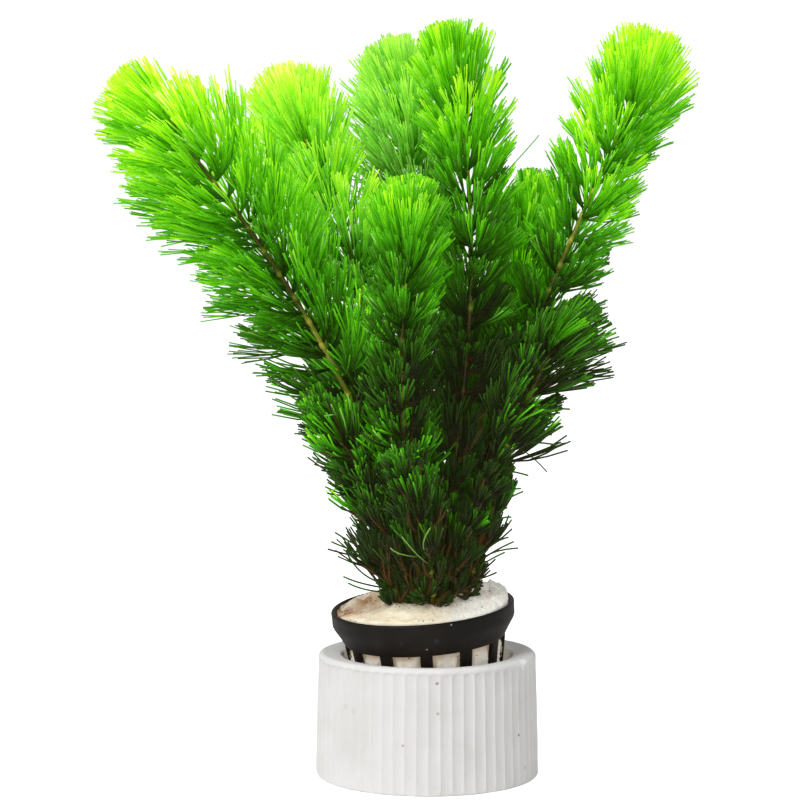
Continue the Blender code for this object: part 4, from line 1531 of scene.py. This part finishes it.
@dataclass
class Leaves:
    """All the leaves of one stem, in whorls of three from the growing tip down to the wool.

    Whorls stand first_gap apart at the tip, and each gap is gap_growth wider than the one above it. Down to
    young below the tip, leaves are still short and folded up. Angles and curls are in degrees: an angle is
    measured from the stem, and a curl bends a leaf back to it. cup hollows a fan. Leaves within front_sector
    of the viewer lean aside. notch is how deep the gaps between groups of threads are cut, and ragged, uneven
    and tint are the random shares of a thread's length, place and green.
    """

    path: StemPath
    seed: int
    a_whorl: int = 3
    first_gap: float = 1.3 * MM
    gap_growth: float = 0.45 * MM
    foot_clear: float = 6.0 * MM
    foot_whorls: tuple[float, ...] = (4.0 * MM, 2.0 * MM, 0.5 * MM)
    jitter: float = 1.1 * MM
    whorl_turn: float = 0.19
    turn_jitter: float = 0.28
    young: float = 17.0 * MM
    least_angle: float = 7.0
    low_angle: float = 54.0
    curl: float = 9.0
    low_curl: float = 24.0
    cup: float = 0.55
    root_reach: float = 0.5 * MM
    front_sector: float = 72.0
    notched_level: int = 2
    notch_width: float = 12.0 * MM
    notch: float = 0.17
    ragged: float = 0.15
    uneven: float = 0.3
    tint: float = 0.034
    coarse_tint: float = 1.7
    side_gain: float = 1.8
    # The share of thread tips that get a painted highlight
    painted_highlight_tips: float = 0.035
    thread_lengths: tuple[float, float] = (0.7, 1.04)
    thread_sides: int = 3
    fine: tuple[Fork, ...] = (
        Fork(1, 0.0, 0.0, 0.035, 0.40 * MM),
        Fork(6, 14.0, 16.0, 0.12, 0.28 * MM),
        Fork(3, 7.5, 7.5, 0.36, 0.23 * MM, True),
        Fork(2, 3.6, 3.4, 0.66, 0.215 * MM),
        Fork(2, 2.8, 2.8, 1.00, 0.2 * MM),
    )
    coarse: tuple[Fork, ...] = (
        Fork(1, 0.0, 0.0, 0.05, 0.45 * MM),
        Fork(4, 18.0, 14.0, 0.15, 0.36 * MM),
        Fork(3, 9.0, 9.0, 0.42, 0.3 * MM, True),
        Fork(2, 8.0, 8.0, 1.00, 0.26 * MM, True),
    )

    def nodes(self) -> Array:
        """Where the whorls stand: at the sum of gaps that grow evenly up to the plan's widest.

        Returns:
            Their distances below the stem's end. The last three stand close over the wool.
        """
        gaps = np.minimum(self.first_gap + self.gap_growth * np.arange(60), self.path.plan.gap * MM)
        below = np.concatenate([[0.0], np.cumsum(gaps)])
        foot = self.path.length - np.array(self.foot_whorls)
        return np.append(below[below < self.path.length - self.foot_clear], foot)

    def azimuths(self, count: int, chance: np.random.Generator) -> Array:
        """Each leaf's angle round the stem. Whorls alternate, and leaves in the front sector lean aside.

        Args:
            count: How many leaves there are.
            chance: Where the random numbers come from.

        Returns:
            The angles, in radians.
        """
        whorl = np.arange(count) // self.a_whorl
        turn = TURN * (np.arange(count) / self.a_whorl + whorl * self.whorl_turn)
        from_front = (turn + chance.normal(0.0, self.turn_jitter, count) - FRONT + math.pi) % TURN - math.pi
        sector = math.radians(self.front_sector)
        share = np.abs(from_front) / sector
        aside = np.where(share < 1.0, share + (1.0 - share) * self.path.plan.parted, share)
        return FRONT + np.sign(from_front) * aside * sector

    def domed(self, below: Array, angle: Array, long: Array) -> Array:
        """The leaves' lengths: those near the tip end on a dome.

        The dome is a sphere of the crown's radius round the stem's end: with b the distance below it and a
        the leaf's angle, the length is b cos a + sqrt(crown^2 - (b sin a)^2).

        Args:
            below: How far each leaf stands below the stem's end.
            angle: Its angle from the stem.
            long: Its length where it is far from the tip.

        Returns:
            The lengths.
        """
        crown = self.path.plan.crown * MM
        in_dome = below * np.cos(angle) + np.sqrt(np.maximum(crown ** 2 - (below * np.sin(angle)) ** 2, 0.0))
        return in_dome + (long - in_dome) * smooth_step((below - 7 * MM) / (14 * MM))

    def trimmed(self, length: Array, base: Array, way: Array) -> Array:
        """The leaves' lengths with the ragged outline's change for the side that they point to.

        Args:
            length: Their lengths.
            base: The heights that they start at.
            way: The unit vectors along them.

        Returns:
            The new lengths.
        """
        height = (base + length * way[:, 2]) / MM
        change = 1.0
        for column, side in ((1, -1.0), (2, 1.0)):
            towards = np.clip(self.side_gain * side * way[:, 0], 0.0, 1.0)
            change = change + np.interp(height, TRIM[:, 0], TRIM[:, column]) * towards
        return length * change

    def fans(self, chance: np.random.Generator) -> Fans:
        """Where each leaf starts, where it points, and how long it is.

        Far from the tip a leaf is girth / sin spread long, and near the wool it has the tight length. Leaves
        towards the lean are longer. The lowest whorls are the skirt, but for one leaf of each.

        Args:
            chance: Where the random numbers come from.

        Returns:
            The leaves.
        """
        plan = self.path.plan
        below = np.repeat(self.nodes(), self.a_whorl)
        count = len(below)
        below = below + chance.normal(0.0, self.jitter, count) * smooth_step((below - 8 * MM) / (20 * MM))
        below = np.minimum(below, self.path.length)
        place, axis = self.path.at(self.path.length - below)
        base = place[:, 2]
        side, up = StemPath.square_to(axis)
        turn = self.azimuths(count, chance)
        out = np.cos(turn)[:, None] * side + np.sin(turn)[:, None] * up
        tight_top, tight_foot, tight_angle, tight_length = (
            np.interp(place[:, 0], TIGHT_SIDES, ends)
            for ends in (TIGHT_BELOW, TIGHT_FROM, TIGHT_ANGLE, TIGHT_LENGTH))
        tight = smooth_step((tight_top - base) / (tight_top - tight_foot))
        shaded = smooth_step((SHADED_BELOW - base) / SHADED_FADE)
        grown = smooth_step(below / self.young)
        low_down = smooth_step((below - 30 * MM) / (40 * MM))
        least, spread = math.radians(self.least_angle), math.radians(plan.spread)
        full = spread + np.maximum(math.radians(self.low_angle) - spread, 0.0) * low_down
        full = full + (np.radians(tight_angle) - full) * tight
        angle = least + (full - least) * np.clip(below / self.young, 0.0, 1.0) ** 0.75
        angle = angle * chance.normal(1.0, 0.06 + 0.16 * shaded)
        way = np.cos(angle)[:, None] * axis + np.sin(angle)[:, None] * out
        long = (plan.girth[0] + (plan.girth[1] - plan.girth[0]) * low_down) * MM / np.sin(full)
        long = long + (np.minimum(tight_length, long) - long) * tight
        leaning = 1.0 - 0.5 * smooth_step((below - 20 * MM) / (30 * MM))
        leaning = leaning * (plan.lean[0] * way[:, 0] + plan.lean[1] * way[:, 2])
        length = self.domed(below, angle, long) * (1.0 + leaning)
        length = length * (1.0 - chance.uniform(size=count) * (0.12 + 0.2 * shaded))
        skirt = (base < SKIRT_BELOW) & (np.arange(count) % self.a_whorl > 0)
        angle = np.where(skirt, math.radians(SKIRT_ANGLE) * chance.uniform(0.7, 1.1, count), angle)
        length = np.where(skirt, SKIRT_LENGTH * chance.uniform(0.7, 1.2, count), length)
        if plan.trimmed:
            length = self.trimmed(length, base, way)
        opened = (0.65 + 0.35 * grown) * chance.uniform(0.85, 1.1, count) * (1.0 - 0.4 * tight)
        curl = np.radians(self.curl + (self.low_curl - self.curl) * shaded) * (0.4 + 0.6 * grown)
        own = chance.normal(0.0, 0.028 + 0.05 * shaded) - 0.1 * skirt
        sideways = plan.light[0] * (1.0 - 0.6 * smooth_step((below - 18 * MM) / (30 * MM)))
        bent = np.stack([sideways, np.zeros(count), np.full(count, plan.light[1])], axis=1)
        return Fans(place, axis, out, angle, length, opened, curl, grown, bent, own)

    def reach(self, fans: Fans, petiole: float, share: Array, fan: Array, lift: Array) -> Array:
        """The point at a share of each leaf's length, on the thread at that fan angle and lift.

        It is base + share length dir, with dir = cos p c + sin p around + cup (1 - cos p) cos a axis + share
        light, made a unit vector. c = cos a axis + sin a out, where a is the angle from the stem. p is the
        angle across the fan, which opens from the end of the leaf's stalk.

        Args:
            fans: The leaves.
            petiole: The share of a leaf's length that is its stalk.
            share: The share of the leaf's length, as leaf, thread.
            fan: The angle across the fan, as leaf, thread.
            lift: The angle out of the fan, as leaf, thread.

        Returns:
            The points, as leaf, thread, xyz.
        """
        around = np.cross(fans.axis, fans.out)
        wide = fan * np.clip((1.0 - petiole / share) / (1.0 - petiole), 0.0, 1.0) * fans.opened[:, None]
        a = (fans.angle[:, None] + lift + fans.curl[:, None] * (1.0 - share))[..., None]
        wide = wide[..., None]
        way = np.cos(wide) * (np.cos(a) * fans.axis[:, None] + np.sin(a) * fans.out[:, None])
        way = way + np.sin(wide) * around[:, None]
        way = way + self.cup * (1.0 - np.cos(wide)) * np.cos(a) * fans.axis[:, None]
        way = scaled(way + share[..., None] * fans.bent[:, None])
        return fans.place[:, None] + (share * fans.length[:, None])[..., None] * way

    def tones(self, points: Array, share: Array, own: Array, old: Array) -> Array:
        """How green each point is: dark in the base and lime over the top, or brown where a thread is old.

        Low down, painted shade darkens what is near the stem and the tips are painted lighter, and a bell of
        painted shade is taken off in the heart of the bunch.

        Args:
            points: The points.
            share: Each one's share of its leaf's length.
            own: How much greener its thread is than the rest.
            old: Whether its thread is an old one.

        Returns:
            The tones, from 0 to 1.
        """
        height = points[:, 2]
        # The green by height, partly painted shade, plus each stem's offset, partly painted light
        fresh_and_lit = np.interp(height, GREENS_AND_SHADE[:, 0] * MM, GREENS_AND_SHADE[:, 1]) + self.path.plan.fresh_and_lit + own
        # Low down, painted shade darkens the threads near the stem, and their tips are painted lighter
        fresh_and_lit = fresh_and_lit + 0.42 * (share - 0.65) * smooth_step((130 * MM - height) / (50 * MM))
        # Painted shade in the heart of the bunch
        inside = ((points[:, 0] - HEART[0]) / HEART_SIZE[0]) ** 2 + ((height - HEART[1]) / HEART_SIZE[1]) ** 2
        fresh_and_lit = fresh_and_lit - HEART_PAINTED_SHADE * np.exp(-inside)
        return np.where(old, np.abs(own) * 0.8, np.clip(fresh_and_lit, LEAST_GREEN, 1.0))

    def tubed(self, fans: Fans, rings: list[tuple[Array, Array]], widths: tuple[float, float],
              tint: Array, pale: Array, old: Array) -> Surface:
        """The tubes of one generation of threads, a little thinner on young leaves.

        Args:
            fans: The leaves.
            rings: Each ring's places, as leaf, thread, xyz, and their shares of the leaf's length.
            widths: The radius at a thread's foot and at its end.
            tint: How much greener each thread is than its leaf.
            pale: How far a painted haze of light and painted highlights pale it.
            old: Whether it is an old one.

        Returns:
            The surface, with the values along, tone and pale.
        """
        threads, each = tint.shape[1], len(rings) * self.thread_sides
        centres = np.stack([ring[0] for ring in rings], axis=2).reshape(-1, len(rings), 3)
        shares = np.stack([ring[1] for ring in rings], axis=2)
        normal = np.cos(fans.angle)[:, None] * fans.out - np.sin(fans.angle)[:, None] * fans.axis
        across = np.repeat(normal, threads, axis=0)[:, None]
        radii = np.linspace(*widths, len(rings)) * (0.85 + 0.15 * np.repeat(fans.grown, threads)[:, None])
        made = threads_along(centres, across, radii, self.thread_sides)
        along = np.repeat(shares.ravel(), self.thread_sides)
        own, is_old = (np.repeat(item.ravel(), each) for item in (tint + fans.own[:, None], old))
        tone = self.tones(made.points, along, own, is_old)
        made.values = {"along": along, "tone": tone, "pale": np.repeat(pale.ravel(), each) * (tone > 0.4)}
        return made

    def threads(self, fans: Fans, forks: tuple[Fork, ...], chance: np.random.Generator) -> list[Surface]:
        """The threads of these leaves, one surface for each generation of forks.

        Args:
            fans: The leaves.
            forks: The generations, from the stem to the tips.
            chance: Where the random numbers come from.

        Returns:
            The surfaces.
        """
        plan, count = self.path.plan, len(fans.angle)
        petiole, width = forks[0].until, forks[0].radius
        fan, lift, tint = (np.zeros((count, 1)) for _ in range(3))
        longer, pale = np.ones((count, 1)), np.full((count, 1), plan.pale)
        old = np.zeros((count, 1), bool)
        ends = fans.place[:, None] + fans.out[:, None] * self.root_reach
        end_share = np.full((count, 1), 0.02)
        varied = self.tint * (self.coarse_tint if forks is self.coarse else 1.0)
        old_chance = np.interp(fans.place[:, 2], OLD_THREADS[:, 0] * MM, OLD_THREADS[:, 1])
        parts = []
        for level, fork in enumerate(forks):
            number = fork.branches
            shape = (count, fan.shape[1] * number)
            starts, start_share, old_fan, old_lift, longer, pale, tint, old = (
                np.repeat(item, number, axis=1)
                for item in (ends, end_share, fan, lift, longer, pale, tint, old))
            steps = np.tile(np.arange(number) - (number - 1) / 2, shape[1] // number)
            uneven = chance.normal(0.0, self.uneven, shape) * (number > 1)
            fan = old_fan + math.radians(fork.spread) * (steps + uneven)
            lift = old_lift + math.radians(fork.lift) * chance.uniform(-1.0, 1.0, shape)
            cut = self.ragged * fans.grown[:, None] * chance.uniform(size=shape) ** 2
            longer = longer * (1.0 - cut / (1 + (level > self.notched_level)))
            longer = longer * chance.normal(1.0, 0.015, shape)
            tint = tint + chance.normal(0.0, varied, shape)
            if level == self.notched_level:
                tips = self.reach(fans, petiole, np.ones(shape), fan, lift)
                low = smooth_step((waves(tips, self.notch_width, self.seed) - 0.3) / 0.4)
                longer = longer * (1.0 - self.notch * low)
                old = old | (chance.uniform(size=shape) < old_chance[:, None])
            if level == len(forks) - 1:
                # A few tips get a painted highlight
                pale = np.where(chance.uniform(size=shape) < self.painted_highlight_tips, 1.0, pale)
            longer = np.clip(longer, *self.thread_lengths)
            end_share = fork.until * longer
            ends = self.reach(fans, petiole, end_share, fan, lift)
            rings = [(starts, start_share), (ends, end_share)]
            if fork.mid:
                half = (start_share + end_share) / 2
                bent = (old_fan * 0.35 + fan * 0.65, (old_lift + lift) / 2)
                rings.insert(1, (self.reach(fans, petiole, half, *bent), half))
            parts.append(self.tubed(fans, rings, (width, fork.radius), tint, pale, old))
            width = fork.radius
        return parts

    def stray(self, thread: Stray) -> Surface:
        """A loose thread: (1-t)^2 P0 + 2t(1-t) bend + t^2 end, from the stem at its height.

        Args:
            thread: The thread.

        Returns:
            The surface, with the values along, tone and pale.
        """
        rings, sides = 10, 4
        start = self.path.points[np.abs(self.path.points[:, 2] - thread.leaves_at * MM).argmin()]
        t = np.linspace(0.0, 1.0, rings)[:, None]
        centres = ((1 - t) ** 2 * start + 2 * t * (1 - t) * np.array(thread.bend) * MM
                   + t ** 2 * np.array(thread.end) * MM)
        widths = np.full((1, rings), thread.radius * MM)
        made = threads_along(centres[None], np.array((0.0, 1.0, 0.1)), widths, sides)
        made.values["tone"] = np.full(rings * sides, thread.tone)
        made.values["along"] = np.repeat(0.3 + 0.7 * t[:, 0], sides)
        made.values["pale"] = np.full(rings * sides, thread.pale)
        return made

    def surface(self) -> Surface:
        """All the stem's leaves: fine threads in the upper ones, coarse ones in the old leaves below.

        Returns:
            The surface, with the values along, tone and pale.
        """
        chance = np.random.default_rng(self.seed)
        fans = self.fans(chance)
        low = fans.place[:, 2] < self.path.plan.old_below * MM
        parts = self.threads(fans.chosen(low), self.coarse, chance)
        if not low.all():
            parts += self.threads(fans.chosen(~low), self.fine, chance)
        parts += [self.stray(thread) for thread in STRAYS.get(self.path.plan.name, ())]
        return Surface.joined(parts)

    def build(self, material: bpy.types.Material) -> None:
        """Puts the leaves into the scene as one piece.

        Args:
            material: Their material.
        """
        plan = self.path.plan
        whorls = [f"{plan.name}_whorl_{number}" for number in range(1, plan.whorls + 1)]
        made = self.surface()
        made.piece(plan.name + "_leaves", material, plan.slot, whorls, None, ("tone", "along"))


@dataclass
class Cuttings:
    """The thirteen stems with their leaves."""

    seed: int = 100

    def build(self, leaf: bpy.types.Material, stalk: bpy.types.Material) -> None:
        """Puts every stem and its leaves into the scene.

        Args:
            leaf: The leaves' material.
            stalk: The stems' material.
        """
        for number, plan in enumerate(STEMS):
            path = StemPath(plan)
            Stalk(path, self.seed + number).build(stalk)
            Leaves(path, self.seed + 50 + number).build(leaf)


@dataclass
class Studio:
    """The floor, the white room, the lamps and the camera at the photograph's angle."""

    camera_place: tuple[float, float, float] = (-7.5 * MM, -661.0 * MM, 145.0 * MM)
    camera_pitch: float = 3.6
    focal_pixels: float = 3.65 * 661.0
    frame_pixels: float = 800.0
    sensor: float = 36.0
    floor_half: float = 12.0
    floor_glow: float = 0.75
    room_light: float = 0.47
    seen_white: float = 1.05

    def add_camera(self) -> None:
        """The camera: its lens is the sensor's width times the focal length in pixels over the frame's."""
        data = bpy.data.cameras.new("camera")
        data.sensor_width = self.sensor
        data.lens = self.sensor * self.focal_pixels / self.frame_pixels
        data.clip_start = 0.01
        data.clip_end = 100.0
        camera = placed("camera", data)
        camera.location = self.camera_place
        camera.rotation_euler = (math.radians(90.0 - self.camera_pitch), 0.0, 0.0)
        bpy.context.scene.camera = camera

    def add_lamp(self, name: str, place: tuple[float, float, float], size: float, power: float,
                 shade: Colour) -> None:
        """A soft square lamp that faces the middle of the bunch.

        Args:
            name: The lamp's name.
            place: Where it hangs, in metres.
            size: The side of its square, in metres.
            power: Its power, in watts.
            shade: Its colour.
        """
        data = bpy.data.lights.new(name, "AREA")
        data.energy = power
        data.size = size
        data.color = shade
        lamp = placed(name, data)
        lamp.location = place
        aim = Vector((0.0, 0.0, 0.1)) - Vector(place)
        lamp.rotation_euler = aim.to_track_quat("-Z", "Y").to_euler()

    def add_room(self) -> None:
        """A plain white room with even light, seen as pure white."""
        world = bpy.data.worlds.new("room")
        world.use_nodes = True
        background = world.node_tree.nodes["Background"]
        background.inputs["Color"].default_value = (1.0, 1.0, 1.0, 1.0)
        sheet = Sheet(world.node_tree)
        seen = sheet.add("LightPath", {}).outputs["Is Camera Ray"]
        brighter = self.seen_white - self.room_light
        sheet.feed(background.inputs["Strength"], sheet.math("MULTIPLY_ADD", seen, brighter, self.room_light))
        bpy.context.scene.world = world

    def add_floor(self) -> None:
        """A wide flat floor of pale matte card."""
        half = self.floor_half
        mesh = bpy.data.meshes.new("studio_floor")
        corners = [(-half, -half, 0.0), (half, -half, 0.0), (half, half, 0.0), (-half, half, 0.0)]
        mesh.from_pydata(corners, [], [(0, 1, 2, 3)])
        material, sheet, inputs = new_material("floor_card", 0.9, 0.1)
        cloud = sheet.noise(sheet.place(), 3.0)
        sheet.feed(inputs["Base Color"], sheet.mix(cloud, (0.9, 0.9, 0.9), (0.93, 0.93, 0.93)))
        inputs["Emission Color"].default_value = (1.0, 1.0, 1.0, 1.0)
        seen = sheet.add("LightPath", {}).outputs["Is Camera Ray"]
        sheet.feed(inputs["Emission Strength"], sheet.math("MULTIPLY", seen, self.floor_glow))
        mesh.materials.append(material)
        placed("studio_floor", mesh)

    def build(self) -> None:
        """Sets the whole studio up."""
        bpy.context.scene.view_settings.view_transform = "Standard"
        self.add_camera()
        self.add_room()
        self.add_floor()
        self.add_lamp("top_lamp", (-0.26, -0.31, 0.9), 0.4, 3.6, (1.0, 1.0, 0.98))
        self.add_lamp("key_lamp", (-0.7, -0.83, 0.7), 0.5, 2.8, (1.0, 1.0, 1.0))


def main() -> None:
    """Builds every piece and the studio, and keeps the size of the CAD model and of the dressed one."""
    logging.basicConfig(level=logging.INFO, format="%(name)s: %(message)s")
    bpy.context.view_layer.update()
    Studio().build()
    effects = Effects()
    ClayHolder().build(ClayFinish().build(effects))
    NetPot().build(PotPlasticFinish().build(effects))
    WoolPlug().build(WoolFinish().build(effects))
    Cuttings().build(LeafFinish().build(), StalkFinish().build(effects))


if __name__ == "__main__":
    main()
